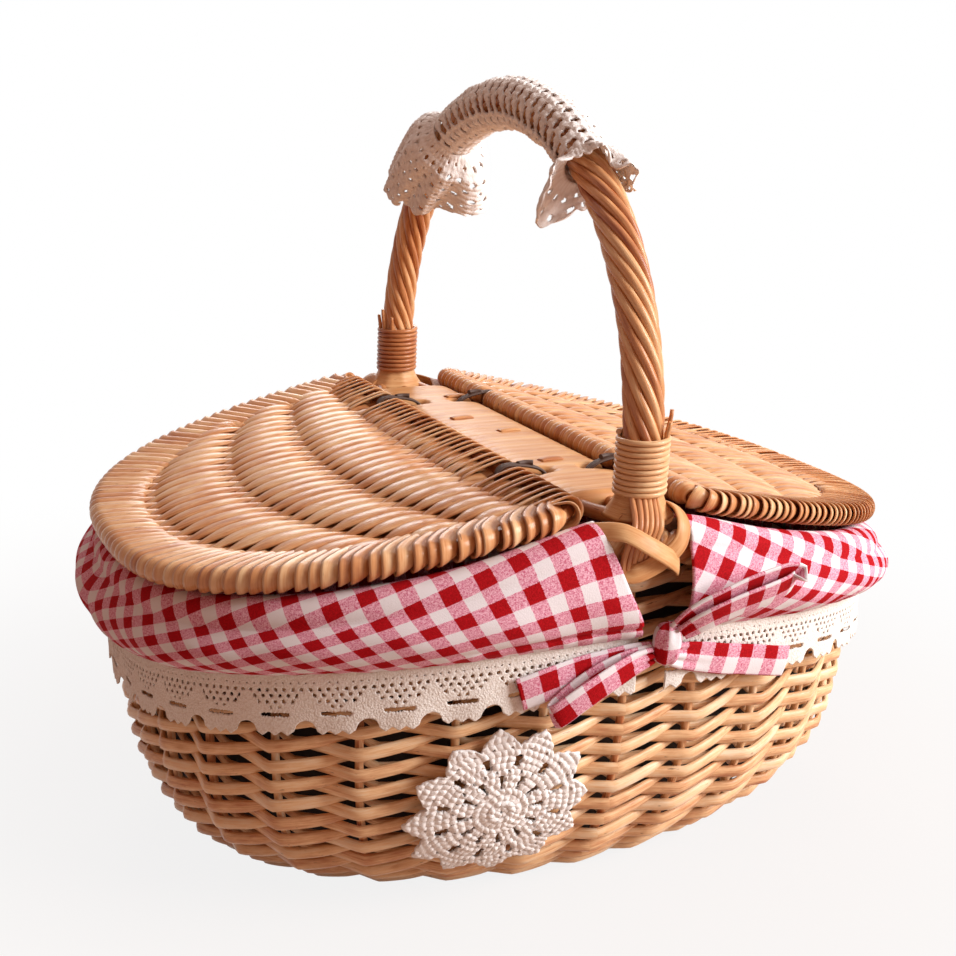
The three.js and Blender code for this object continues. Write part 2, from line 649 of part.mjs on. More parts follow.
const lidWeave = makeLidWeave();
const hoop = flatTube(hoopPoints, LID_ROD_RADIUS, 6, false);
for (const [lid, sideX] of [['left', -1], ['right', 1]]) {
  const hinge = new THREE.Group();
  hinge.position.set(sideX * hingeX, 0, hingeZ);
  hinge.rotation.z = sideX < 0 ? Math.PI : 0;
  const tilt = new THREE.Group();
  tilt.rotation.y = LID_SLOPE;
  hinge.add(tilt);
  basket.add(hinge);
  add(`${lid}_lid_weave`, lidWeave, willow, tilt);
  add(`${lid}_lid_hoop`, hoop, willow, tilt);
  const stick = straightRod(0, 0, LID_ROD_RADIUS, straightHalf - 3 * SEAT_GAP);
  add(`${lid}_lid_hinge_stick`, stick, willow, tilt);
  ribShares.forEach((share, i) => {
    const points = ribPoints(share, 2 * (LID_ROD_RADIUS + LID_RIB_RADIUS));
    add(`${lid}_lid_rib_${i + 1}`, flatTube(points, LID_RIB_RADIUS, 6, false), willow, tilt);
  });
}

// Liner

const bagTop = (angle) => wallTop(angle) - BAG_GAP;

// Solid inside the wall at an offset, from a floor up to a share over the bag's top
function bagSolid(offset, floor, over) {
  const sections = [0, 0.1, 0.25, 0.5, 1].map((share) => turnSteps(20).map((angle) =>
    wallPoint(angle, lerp(floor, bagTop(angle) + over, share), offset)));
  return loft(sections);
}

function makeBag() {
  const out = -WALL_THICKNESS - BAG_GAP;
  const floor = BASE_THICKNESS + SEAT_GAP;
  return cut(bagSolid(out, floor, 0), bagSolid(out - CLOTH_THICKNESS, floor + CLOTH_THICKNESS, 1));
}

// Share of the way from an end of the basket to its side, turning smoothly at the end.
function sideShare(angle) {
  const rounded = (sine) => Math.hypot(sine, LACE_END_ROUND) - LACE_END_ROUND;
  return rounded(Math.sin(angle)) / rounded(1);
}

const laceTopEnd = rimTop(WALL_HALF_LENGTH) - LACE_END_DROP;
const laceTop = (angle) => lerp(laceTopEnd, RIM_HEIGHT - LACE_SIDE_DROP, sideShare(angle));
const laceLow = (angle) => laceTop(angle) - LACE_WIDTH;

// Cloth profile over the rim: out from the wall's middle, up from the rim's middle
function skirtProfile(angle, offset) {
  const centre = rimCentre(angle);
  const radius = RIM_RADIUS + SKIRT_GAP + offset;
  const bagEdge = bagTop(angle) + CLOTH_GAP - centre.z;
  const low = laceTop(angle) - centre.z;
  const hem = FOOT_RELIEF + SEAT_GAP + offset;
  const arc = spread(5).map((i) => Math.PI - (Math.PI * i) / 4)
    .map((turn) => [radius * Math.cos(turn), radius * Math.sin(turn)]);
  const fall = new THREE.CubicBezierCurve(
    new THREE.Vector2(radius, 0), new THREE.Vector2(radius + SKIRT_PUFF, 0.35 * low),
    new THREE.Vector2(radius + SKIRT_PUFF, 0.7 * low), new THREE.Vector2(hem, low),
  ).getPoints(3).slice(1).map((p) => [p.x, p.y]);
  return [[-radius, bagEdge], ...arc, ...fall].map(([out, up]) => {
    const p = ovalPoint(WALL_HALF_LENGTH + out, WALL_HALF_WIDTH + out, WALL_POWER, angle);
    return vec(p.x, p.y, centre.z + up);
  });
}

// Plan angle at a share of the way from an end of the basket to the left (1) or right edge (-1) of a slit
function slitAngle(share, leftReach, rightReach) {
  const reach = share > 0 ? leftReach : rightReach;
  const y = ovalWidth(WALL_HALF_LENGTH, WALL_HALF_WIDTH, WALL_POWER, reach);
  return share * Math.atan2(y / WALL_HALF_WIDTH, reach / WALL_HALF_LENGTH);
}

// Skirt of the liner, turned over the rim from slit to slit round one end
function makeSkirt(sideX) {
  const steps = RIM_TWISTS;
  const middle = sideX < 0 ? Math.PI : 0;
  const sections = spread(steps + 1).map((i) => {
    const share = (2 * i) / steps - 1;
    const points = [0, CLOTH_THICKNESS].map((offset) => {
      const top = skirtProfile(middle + slitAngle(share, SLIT_LEFT_TOP, SLIT_RIGHT_TOP), offset);
      const hem = skirtProfile(middle + slitAngle(share, SLIT_LEFT_LOW, SLIT_RIGHT_LOW), offset);
      return top.map((p, j) => p.clone().lerp(hem[j], Math.max(0, (j - 5) / (top.length - 6))));
    });
    return [...points[0], ...points[1].toReversed()];
  });
  return loft(sections);
}

// Lace band below the skirt, with a scalloped lower edge
function makeLace(sideX) {
  const steps = 2 * LACE_SCALLOP_COUNT;
  const middle = sideX < 0 ? Math.PI : 0;
  return loft(spread(steps + 1).map((i) => {
    const angle = middle + slitAngle((2 * i) / steps - 1, SLIT_LEFT_LOW, SLIT_RIGHT_LOW);
    const low = laceLow(angle) + (i % 2 ? 0 : LACE_SCALLOP);
    const high = laceTop(angle) + LACE_OVERLAP;
    return [
      wallPoint(angle, low, laceOffset), wallPoint(angle, laceTop(angle), laceOffset),
      skirtLean(angle, high, SEAT_GAP), skirtLean(angle, high, SEAT_GAP + LACE_THICKNESS),
      wallPoint(angle, laceTop(angle), laceOuter), wallPoint(angle, low, laceOuter),
    ];
  }));
}

// Point just outside the skirt at a height above its hem
function skirtLean(angle, z, gap) {
  const hem = skirtProfile(angle, CLOTH_THICKNESS).at(-1);
  const above = skirtProfile(angle, CLOTH_THICKNESS).at(-2);
  const share = (z - hem.z) / (above.z - hem.z);
  const p = hem.clone().lerp(above, share);
  return p.addScaledVector(outward(angle), gap + CLOTH_THICKNESS);
}

add('liner_bag', makeBag(), gingham);
for (const [place, sideX] of [['left', -1], ['right', 1]]) {
  add(`liner_skirt_${place}`, makeSkirt(sideX), gingham);
  add(`lace_${place}`, makeLace(sideX), lace);
}

// Bow: knot, two loops and two tails; the rear one is the front one turned round

const nearLayer = laceOuter + CLOTH_GAP + RIBBON_THICKNESS / 2;
const nextLayer = nearLayer + RIBBON_THICKNESS + SEAT_GAP;
const knotCentre = frontPoint(KNOT_X, knotZ, laceOuter + LACE_THICKNESS + KNOT_DEPTH);
const knotEdge = KNOT_RADIUS + 2 * SEAT_GAP;
const tailStart = KNOT_RADIUS / 2; // under the knot
const skirtOut = RIM_RADIUS + SKIRT_GAP + CLOTH_THICKNESS + 0.7 * SKIRT_PUFF; // outside the puffed skirt

// Ribbon from a start beside the knot's middle: places as shares of its reach and fall, and a distance out
function ribbon(start, reach, fall, places, lean, steps) {
  const curve = new THREE.CatmullRomCurve3(places.map(([along, down, out], i) => {
    const x = i ? reach * along : Math.sign(reach) * start;
    return frontPoint(KNOT_X + x, knotZ + fall * down, out);
  }));
  return band(curve, RIBBON_WIDTH, RIBBON_THICKNESS, vec(-Math.sin(lean), 0, Math.cos(lean)), steps);
}

const leftOpen = (share) => nextLayer + LOOP_LEFT_OPENING * share;
const rightOpen = (base, share) => base + LOOP_RIGHT_OPENING * share;

const bowPieces = {
  knot: new THREE.SphereGeometry(1, 10, 7).scale(KNOT_RADIUS, KNOT_DEPTH, KNOT_RADIUS)
    .translate(knotCentre.x, knotCentre.y, knotCentre.z),
  tail_left: ribbon(tailStart, -TAIL_LEFT_REACH, -TAIL_LEFT_FALL, [
    [0, 0.42, nearLayer], [0.59, 0.57, nearLayer], [1, 1, nearLayer],
  ], 0.34, 6),
  tail_right: ribbon(tailStart, TAIL_RIGHT_REACH, -TAIL_RIGHT_FALL, [
    [0, 0.42, nearLayer], [0.53, 0.66, nearLayer], [1, 1, nearLayer],
  ], 0.17, 6),
  loop_left: ribbon(knotEdge, -LOOP_LEFT_REACH, -LOOP_LEFT_FALL, [
    [0, 0.22, leftOpen(0)], [0.62, 0.5, leftOpen(0)], [0.94, 0.88, leftOpen(0.17)],
    [1, 1, leftOpen(0.5)], [0.92, 0.86, leftOpen(0.83)], [0.58, 0.47, leftOpen(1)],
    [0.23, 0.2, leftOpen(0.67)],
  ], 0.42, 16),
  loop_right: ribbon(knotEdge, LOOP_RIGHT_REACH, LOOP_RIGHT_RISE, [
    [0, 0.3, rightOpen(nextLayer, 0.9)], [0.29, 0.55, rightOpen(skirtOut, 0.1)],
    [0.56, 0.8, rightOpen(skirtOut, 0.1)], [0.91, 0.97, rightOpen(skirtOut, 0.4)],
    [1, 1, rightOpen(skirtOut, 0.7)], [0.91, 0.97, rightOpen(skirtOut, 1)],
    [0.53, 0.77, rightOpen(skirtOut, 0.8)], [0.18, 0.36, rightOpen(nextLayer, 1.2)],
  ], 0.3, 18),
};
for (const [place, turn] of [['front', 0], ['rear', Math.PI]]) {
  const bow = new THREE.Group();
  bow.rotation.z = turn;
  basket.add(bow);
  for (const [name, geometry] of Object.entries(bowPieces)) {
    add(`${place}_bow_${name}`, geometry, gingham, bow);
  }
}

// Crochet

// Height reached after going a distance up the wall from a starting height
function climb(x, start, distance) {
  const steps = 12;
  let z = start;
  for (let i = 0; i < steps; i++) {
    const rise = frontPoint(x, z + 1, 0).sub(frontPoint(x, z, 0));
    z += (distance / steps) * (rise.z / rise.length());
  }
  return z;
}

// Doily: petals round two rings of holes, bent to the wall
function makeDoily() {
  const petal = fullTurn / DOILY_POINTS;
  const polar = (share, angle) => new THREE.Vector2(Math.cos(angle), Math.sin(angle))
    .multiplyScalar(DOILY_RADIUS * share);
  const edge = [1, (1 + DOILY_NOTCH) / 2, DOILY_NOTCH, (1 + DOILY_NOTCH) / 2];
  const outline = spread(4 * DOILY_POINTS).map((i) => polar(edge[i % 4], (petal * i) / 4));
  const shape = new THREE.Shape(outline);
  for (const [from, to, width] of DOILY_RINGS) {
    for (const i of spread(DOILY_POINTS)) {
      const middle = petal * i;
      shape.holes.push(new THREE.Path([
        polar(from, middle), polar((from + to) / 2, middle - petal * width),
        polar(to, middle), polar((from + to) / 2, middle + petal * width),
      ]));
    }
  }
  const disc = new THREE.ExtrudeGeometry(shape, { depth: DOILY_THICKNESS, bevelEnabled: false });
  const place = disc.attributes.position;
  for (const i of spread(place.count)) {
    const x = DOILY_X + place.getX(i);
    const p = frontPoint(x, climb(x, DOILY_Z, place.getY(i)), WEAVE_RELIEF + DOILY_SEAT + place.getZ(i));
    place.setXYZ(i, p.x, p.y, p.z);
  }
  return disc;
}

// Stretch of the handle's bow between two of its angles
class BowArc extends THREE.Curve {
  constructor(from, to) {
    super();
    this.from = from;
    this.to = to;
  }

  getPoint(t) {
    return bowPoint(lerp(this.from, this.to, t));
  }
}

// Angle of the bow where the cover ends, to the front or to the rear
const coverEnd = (side) => Math.PI / 2 + (side < 0 ? -COVER_FRONT_ANGLE : COVER_REAR_ANGLE);

// Sleeve round the top of the bow
function makeCover() {
  const sides = 8;
  const bore = coverInner / Math.cos(Math.PI / sides);
  const past = COVER_FRONT_ANGLE / 10;
  const outside = rod(new BowArc(coverEnd(-1), coverEnd(1)), bore + COVER_THICKNESS, 11, sides);
  return cut(outside, rod(new BowArc(coverEnd(-1) - past, coverEnd(1) + past), bore, 12, sides));
}

// Frill below one end of the cover, flaring down the handle in folds
function makeRuffle(side) {
  const end = coverEnd(side);
  const run = Math.hypot(legY * Math.sin(end), HANDLE_RISE * Math.cos(end));
  const place = (drop) => end + (side * (SEAT_GAP + drop)) / run;
  return loft(turnSteps(4 * RUFFLE_FOLDS).map((turn) => {
    const wall = (offset) => [0, 0.5, 1].map((share) => {
      const centre = bowPoint(place(RUFFLE_LENGTH * share));
      const along = bowPoint(place(RUFFLE_LENGTH * share + 1)).sub(centre).normalize();
      const deep = vec(1, 0, 0).cross(along);
      const fold = RUFFLE_FOLD_DEPTH * share * Math.cos(RUFFLE_FOLDS * turn);
      const radius = coverInner + SEAT_GAP + (RUFFLE_FLARE + RUFFLE_FOLD_DEPTH) * share + fold + offset;
      return centre.addScaledVector(vec(1, 0, 0), radius * Math.cos(turn))
        .addScaledVector(deep, radius * Math.sin(turn));
    });
    return [...wall(0), ...wall(COVER_THICKNESS).toReversed()];
  }), true);
}

add('crochet_doily', makeDoily(), crochet);
add('grip_cover', makeCover(), crochet);
add('grip_ruffle_front', makeRuffle(-1), crochet);
add('grip_ruffle_rear', makeRuffle(1), crochet);

export default basket;
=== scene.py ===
import math
from types import SimpleNamespace

import bpy
import numpy as np
from mathutils import Matrix


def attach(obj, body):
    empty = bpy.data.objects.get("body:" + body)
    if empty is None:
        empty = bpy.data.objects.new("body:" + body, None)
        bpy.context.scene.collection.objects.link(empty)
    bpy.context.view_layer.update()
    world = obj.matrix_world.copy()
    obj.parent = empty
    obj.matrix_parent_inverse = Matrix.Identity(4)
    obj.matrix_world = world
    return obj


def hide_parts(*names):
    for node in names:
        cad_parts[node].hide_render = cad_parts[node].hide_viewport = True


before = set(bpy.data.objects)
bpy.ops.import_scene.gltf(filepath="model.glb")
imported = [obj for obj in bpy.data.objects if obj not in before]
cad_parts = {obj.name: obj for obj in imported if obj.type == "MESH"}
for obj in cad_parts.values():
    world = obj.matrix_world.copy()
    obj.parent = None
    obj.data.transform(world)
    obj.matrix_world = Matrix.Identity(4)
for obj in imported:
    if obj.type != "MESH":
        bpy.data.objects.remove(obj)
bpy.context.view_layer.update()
rng = np.random.default_rng(11)
pi = math.pi

# lengths in millimetres, in the shared frame
lean = math.radians(12.2)  # slope of a lid and of the rim
hingeX, hingeZ = 32.0, 187.467
legY, footY, springZ, bowRise = 134.0, 152.0, 207.8, 142.0
footOval, rimOval, lidOval = (153, 104, 2.05), (188, 141, 2.57), (197, 135, 2.63)  # half-sizes and fullness
rimCrest, rimHalf, wallBelow = 179.8, 8.5, 8.8  # rim's top, its middle below that, the wall below its middle
upward = np.array([0, 0, 1])


# vector divided by its length
def unit(v):
    return v / np.maximum(np.linalg.norm(v, axis=-1, keepdims=True), 1e-9)


# straight blend from a to b
def lerp(a, b, t):
    return a + (b - a) * t


# smooth step from 0 at a to 1 at b
def ease(a, b, x):
    t = np.clip((x - a) / (b - a), 0, 1)
    return t * t * (3 - 2 * t)


# coordinates broadcast to one shape and set side by side
def stack(*parts):
    return np.stack(np.broadcast_arrays(*parts), -1)


# point of a fuller-than-elliptic oval at a scaled angle
def oval(a, b, power, angle):
    c, s = np.cos(angle), np.sin(angle)
    reach = (np.abs(c) ** power + np.abs(s) ** power) ** (-1 / power)
    return a * reach * c, b * reach * s


# half-width of that oval at a place along it
def ovalWidth(a, b, power, x):
    return b * np.maximum(1 - np.abs(x / a) ** power, 0) ** (1 / power)


# the rim slopes down from the bridge to both ends, rounded at the crest
def rimTop(x):
    return rimCrest - math.tan(lean) * (np.hypot(x, 20) - 20)


# height of the rim's middle line
def rimMiddle(angle):
    return rimTop(oval(*rimOval, angle)[0]) - rimHalf


# height at which the wall ends
def wallTop(angle):
    return rimMiddle(angle) - wallBelow


# half-length, half-width and fullness of the wall at a share of its height
def wallSize(rise):
    swell = 1 - (1 - np.clip(rise, 0, 1)) ** 4.7
    return [lerp(low, high, swell) for low, high in zip(footOval, rimOval)]


# place on the wall by angle and height, offset outwards in plan
def wallPoint(angle, z, offset):
    a, b, power = wallSize(z / wallTop(angle))
    x, y = oval(a + offset, b + offset, power, angle)
    return stack(x, y, z)


# the same on the front half, by x and height
def frontPoint(x, z, offset):
    a, b, power = wallSize(z / (rimTop(x) - 17))
    return stack(x, -ovalWidth(a + offset, b + offset, power, x), z)


# level direction away from the middle, square to an ellipse
def outward(angle):
    return unit(stack(np.cos(angle) / rimOval[0], np.sin(angle) / rimOval[1], 0 * angle))


# scaled angle of the wall's front at a plan place x
def frontAngle(x):
    return 2 * pi - np.arctan2(ovalWidth(*rimOval, x) / rimOval[1], x / rimOval[0])


# the lace's upper edge: low at the basket's ends, high at the handle
def laceTop(angle):
    share = (np.hypot(np.sin(angle), 0.25) - 0.25) / (math.hypot(1, 0.25) - 0.25)
    return lerp(106.05, 135, share)


# places turned about the vertical axis
def turnAbout(points, angle):
    c, s = math.cos(angle), math.sin(angle)
    return points @ np.array([[c, s, 0], [-s, c, 0], [0, 0, 1]])


# distance along a path at each of its places
def lengths(path):
    return np.concatenate([[0], np.cumsum(np.linalg.norm(np.diff(path, axis=0), axis=1))])


# places at given distances along a path
def placesAt(distance, run, path):
    return np.stack([np.interp(distance, run, path[:, k]) for k in range(3)], -1)


# places at equal steps along a path
def resample(path, count):
    run = lengths(path)
    return placesAt(np.linspace(0, run[-1], count), run, path)


# smooth curve through a few places: a cubic between each two, by their neighbours
def through(places, count):
    p = np.asarray(places, float)
    p = np.concatenate([2 * p[:1] - p[1:2], p, 2 * p[-1:] - p[-2:-1]])
    t = np.linspace(0, len(p) - 3 - 1e-9, count)
    i, f = t.astype(int), (t % 1)[:, None]
    a, b, c, d = p[i], p[i + 1], p[i + 2], p[i + 3]
    square, cube = 2 * a - 5 * b + 4 * c - d, 3 * b - a - 3 * c + d
    return 0.5 * (2 * b + (c - a) * f + square * f ** 2 + cube * f ** 3)


# smooth random wave of a parameter, about -1 to 1: a few sines of nearby lengths
def wander(x, waves, seed, terms=5):
    dice = np.random.default_rng(seed)
    total = 0
    for k in range(terms):
        turn = 2 * pi * waves * (0.6 + 0.8 * k / terms) * x + dice.uniform(0, 2 * pi)
        total = total + np.sin(turn) * dice.uniform(0.5, 1)
    return total / (0.55 * terms)


# quads over grids of points (patch, along, across); uv has one place more where the grid closes
def grid(points, uv, closedAlong=False, closedAcross=False, tones=None, keep=None, capped=True):
    count, along, across = points.shape[:3]
    p, i, j = np.meshgrid(np.arange(count), np.arange(along - (not closedAlong)),
                          np.arange(across - (not closedAcross)), indexing="ij")
    corners = ((0, 0), (0, 1), (1, 1), (1, 0))
    faces = np.stack([(p * along + (i + a) % along) * across + (j + b) % across for a, b in corners], -1)
    cuts = np.stack([uv[p, i + a, j + b] for a, b in corners], -2)
    if keep is not None:
        faces, cuts = faces[keep], cuts[keep]
    tones = rng.random(count) if tones is None else tones
    caps = []
    if closedAcross and not closedAlong and capped:
        ring = np.arange(across)
        for k in range(count):
            first = k * along * across
            caps += [first + ring[::-1], first + (along - 1) * across + ring]
    return dict(points=points.reshape(-1, 3), faces=faces.reshape(-1, 4), uv=cuts.reshape(-1, 2),
                caps=caps, tone=np.repeat(tones, along * across))


# one patch of cloth or skein, with one tone
def surface(points, uv, closedAlong=False, closedAcross=False, keep=None, capped=True, tone=0.5):
    return grid(points[None], uv[None], closedAlong, closedAcross, np.array([tone]), keep, capped)


# rods along paths (rod, place, xyz), round or flattened: wide towards ups by squash
def tubes(paths, radius, ups, sides=8, closed=False, squash=1.0, tones=None):
    paths = np.asarray(paths, float)
    count, steps = paths.shape[:2]
    ahead = np.roll(paths, -1, 1) - np.roll(paths, 1, 1) if closed else np.gradient(paths, axis=1)
    ahead = unit(ahead)
    side = unit(np.cross(np.broadcast_to(ups, paths.shape), ahead))
    rise = np.cross(ahead, side)
    turn = 2 * pi * np.arange(sides) / sides
    wide = np.broadcast_to(squash, (count, steps))[..., None, None]
    ring = np.cos(turn)[:, None] * side[:, :, None] + wide * np.sin(turn)[:, None] * rise[:, :, None]
    points = paths[:, :, None] + np.broadcast_to(radius, (count, steps))[..., None, None] * ring
    legs = np.linalg.norm(np.diff(np.concatenate([paths, paths[:, :1]], 1), axis=1), axis=-1)
    run = np.concatenate([np.zeros((count, 1)), np.cumsum(legs, 1)], 1) * 0.001
    return grid(points, stack(run[:, :, None], np.linspace(0, 1, sides + 1)), closed, True, tones)


# mesh of several parts, with their uv places and a tone for each rod
def addMesh(name, parts, materials):
    points = np.concatenate([part["points"] for part in parts]) * 0.001
    base, loops, sizes, cuts = 0, [], [], []
    for part in parts:
        loops.append((part["faces"] + base).ravel())
        sizes.append(np.full(len(part["faces"]), 4))
        cuts.append(part["uv"])
        for cap in part["caps"]:
            loops.append(cap + base)
            sizes.append([len(cap)])
            cuts.append(np.tile(part["uv"][:1], (len(cap), 1)))
        base += len(part["points"])
    loops, sizes = np.concatenate(loops), np.concatenate(sizes)
    mesh = bpy.data.meshes.new(name)
    mesh.vertices.add(len(points))
    mesh.vertices.foreach_set("co", points.ravel())
    mesh.loops.add(len(loops))
    mesh.loops.foreach_set("vertex_index", loops.astype(np.int32))
    mesh.polygons.add(len(sizes))
    mesh.polygons.foreach_set("loop_start", (np.cumsum(sizes) - sizes).astype(np.int32))
    mesh.polygons.foreach_set("use_smooth", sizes == 4)
    mesh.update(calc_edges=True)
    mesh.uv_layers.new(name="cut").data.foreach_set("uv", np.concatenate(cuts).ravel())
    tone = mesh.attributes.new("tone", "FLOAT", "POINT")
    tone.data.foreach_set("value", np.concatenate([part["tone"] for part in parts]))
    for material in materials:
        mesh.materials.append(material)
    return mesh


# finished piece on its body, in place of CAD nodes
def addPiece(name, parts, materials, replaced, body="basket"):
    piece = bpy.data.objects.new(name, addMesh(name, parts, materials))
    bpy.context.scene.collection.objects.link(piece)
    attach(piece, body)
    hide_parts(*replaced)
    return piece


# cloth's thickness about its surface
def thicken(piece, thickness, offset=0.0, materialStep=0):
    cloth = piece.modifiers.new("thickness", "SOLIDIFY")
    cloth.thickness, cloth.offset, cloth.material_offset = thickness * 0.001, offset, materialStep
    return piece


# moves grid places near the edge of a hole onto it, and says which cells stay
def cutHoles(u, v, distance, reach):
    d = distance(u, v)
    step = 0.02
    du = (distance(u + step, v) - distance(u - step, v)) / (2 * step)
    dv = (distance(u, v + step) - distance(u, v - step)) / (2 * step)
    near = np.where(np.abs(d) < reach, d, 0) / np.maximum(du ** 2 + dv ** 2, 0.3)
    middle = (d[:-1, :-1] + d[1:, :-1] + d[:-1, 1:] + d[1:, 1:]) / 4
    return u - near * du, v - near * dv, (middle > 0)[None]


# linear colour of a screen colour
def srgb(*screen):
    shares = [c / 255 for c in screen]
    return tuple(c / 12.92 if c < 0.04045 else ((c + 0.055) / 1.055) ** 2.4 for c in shares) + (1.0,)


# a node's inputs, linked or set
def fill(tree, node, inputs):
    for key, value in inputs.items():
        if isinstance(value, bpy.types.NodeSocket):
            tree.links.new(value, node.inputs[key])
        else:
            node.inputs[key].default_value = value
    return node


# a new node with its settings and inputs
def addNode(tree, kind, inputs={}, **settings):
    node = tree.nodes.new(kind)
    for key, value in settings.items():
        setattr(node, key, value)
    return fill(tree, node, inputs)


# material with short names for the nodes it is made of
def newMaterial(name):
    material = bpy.data.materials.new(name)
    material.use_nodes = True
    tree = material.node_tree

    def add(kind, inputs={}, **settings):
        return addNode(tree, kind, inputs, **settings)

    def math2(operation, a, b=0.0, c=0.0):
        return add("ShaderNodeMath", {0: a, 1: b, 2: c}, operation=operation).outputs[0]

    def mix(factor, a, b):
        return add("ShaderNodeMix", {0: factor, 6: a, 7: b}, data_type="RGBA").outputs[2]

    def noise(vector, scale, detail=3.0, roughness=0.55):
        inputs = {"Vector": vector, "Scale": scale, "Detail": detail, "Roughness": roughness}
        return add("ShaderNodeTexNoise", inputs).outputs["Fac"]

    def spread(value, low, high):
        return add("ShaderNodeMapRange", {0: value, 1: low, 2: high}).outputs[0]

    def bump(height, strength, distance):
        inputs = {"Height": height, "Strength": strength, "Distance": distance}
        return add("ShaderNodeBump", inputs).outputs[0]

    def finish(**sockets):
        fill(tree, tree.nodes["Principled BSDF"], {key.replace("_", " "): sockets[key] for key in sockets})

    return material, SimpleNamespace(add=add, math=math2, mix=mix, noise=noise, spread=spread, bump=bump,
                                     finish=finish)


# varnished rods: grain runs along the rod, each rod has its own tone
def makeWillow(name, shade, middle, pale, coat, onObject=False):
    material, n = newMaterial(name)
    coords = n.add("ShaderNodeTexCoord")
    tone = n.add("ShaderNodeAttribute", attribute_name="tone").outputs["Fac"]
    if onObject:
        solid = coords.outputs["Object"]
        place, fine = (n.add("ShaderNodeMapping", {"Vector": solid, "Scale": 3 * [scale]}).outputs[0]
                       for scale in (60, 180))
    else:
        axes = n.add("ShaderNodeSeparateXYZ", {0: coords.outputs["UV"]})
        turn = n.math("MULTIPLY", axes.outputs[1], 2 * pi)
        across, up = n.math("COSINE", turn), n.math("SINE", turn)
        shift = n.math("MULTIPLY", tone, 40.0)
        place = n.add("ShaderNodeCombineXYZ", {
            0: n.math("MULTIPLY_ADD", axes.outputs[0], 75.0, shift), 1: across, 2: up}).outputs[0]
        fine = n.add("ShaderNodeCombineXYZ", {
            0: n.math("MULTIPLY_ADD", axes.outputs[0], 40.0, shift), 1: n.math("MULTIPLY", across, 4.0),
            2: n.math("MULTIPLY", up, 4.0)}).outputs[0]
    grain, streak = n.noise(place, 1.0), n.noise(fine, 1.3, 4.0)
    share = n.math("MULTIPLY_ADD", streak, 0.38, n.math("MULTIPLY_ADD", tone, 0.36, -0.2))
    share = n.math("MULTIPLY_ADD", grain, 0.62, share)
    colour = n.mix(n.spread(share, 0.22, 0.5), shade, middle)
    colour = n.mix(n.spread(share, 0.5, 0.82), colour, pale)
    speck = n.spread(n.noise(place, 2.2, 2.0), 0.69, 0.77)
    colour = n.mix(n.math("MULTIPLY", speck, 0.7), colour, srgb(96, 46, 26))
    n.finish(Base_Color=colour, Roughness=n.spread(streak, -0.6, 1.9), Coat_Weight=coat, Coat_Roughness=0.2,
             Specular_IOR_Level=0.15, Normal=n.bump(streak, 0.35, 0.0004))
    return material


# checked cotton: two sets of stripes, pink where only one of them lies, flecked by single threads
def makeGingham(name, red, pink, white, check=8.0):
    material, n = newMaterial(name)
    coords = n.add("ShaderNodeTexCoord")
    axes = n.add("ShaderNodeSeparateXYZ", {0: coords.outputs["UV"]})
    threads = []
    for axis, other in ((0, 1), (1, 0)):
        stretch = [0, 0, 0]
        stretch[axis], stretch[other] = 2600, 620
        vector = n.add("ShaderNodeMapping", {"Vector": coords.outputs["UV"], "Scale": stretch}).outputs[0]
        threads.append(n.noise(vector, 1.0, 1.0))
    stripes = []
    for axis in (0, 1):
        wavy = n.math("MULTIPLY_ADD", threads[1 - axis], 0.0009, axes.outputs[axis])
        place = n.math("FRACT", n.math("MULTIPLY", wavy, 500.0 / check))
        stripes.append(n.math("LESS_THAN", place, 0.5))
    both = n.math("ADD", stripes[0], stripes[1])
    weave = n.math("ADD", threads[0], threads[1])
    fleck = n.spread(weave, 0.8, 1.2)
    colour = n.mix(n.math("GREATER_THAN", both, 0.5), white, n.mix(fleck, *pink))
    colour = n.mix(n.math("GREATER_THAN", both, 1.5), colour, n.mix(fleck, *red))
    n.finish(Base_Color=colour, Roughness=0.85, Specular_IOR_Level=0.12, Normal=n.bump(weave, 0.35, 0.0004))
    return material


# plain cotton yarn, knobbly at the scale of a stitch, with painted shade in the hollows between the knots
def makeCotton(name, tint, shade, stitch):
    material, n = newMaterial(name)
    coords = n.add("ShaderNodeTexCoord")
    spots = {"Vector": coords.outputs["UV"], "Scale": 1000.0 / stitch}
    knots = n.add("ShaderNodeTexVoronoi", spots).outputs["Distance"]
    fuzz = n.noise(coords.outputs["Object"], 1400.0, 3.0)
    height = n.math("MULTIPLY_ADD", knots, -1.0, fuzz)
    # the shade colour fills the hollows between the knots, where the bump is low: painted shade
    n.finish(Base_Color=n.mix(n.spread(knots, 0.3, 0.9), tint, shade), Roughness=0.9, Sheen_Weight=0.1,
             Normal=n.bump(height, 0.5, 0.0005))
    return material


# one colour, mottled
def makePlain(name, colour, roughness):
    material, n = newMaterial(name)
    coords = n.add("ShaderNodeTexCoord")
    mottle = n.noise(coords.outputs["Object"], 500.0, 4.0)
    deep = tuple(0.7 * c for c in colour[:3]) + (1.0,)
    n.finish(Base_Color=n.mix(mottle, deep, colour), Roughness=roughness, Normal=n.bump(mottle, 0.3, 0.0004))
    return material


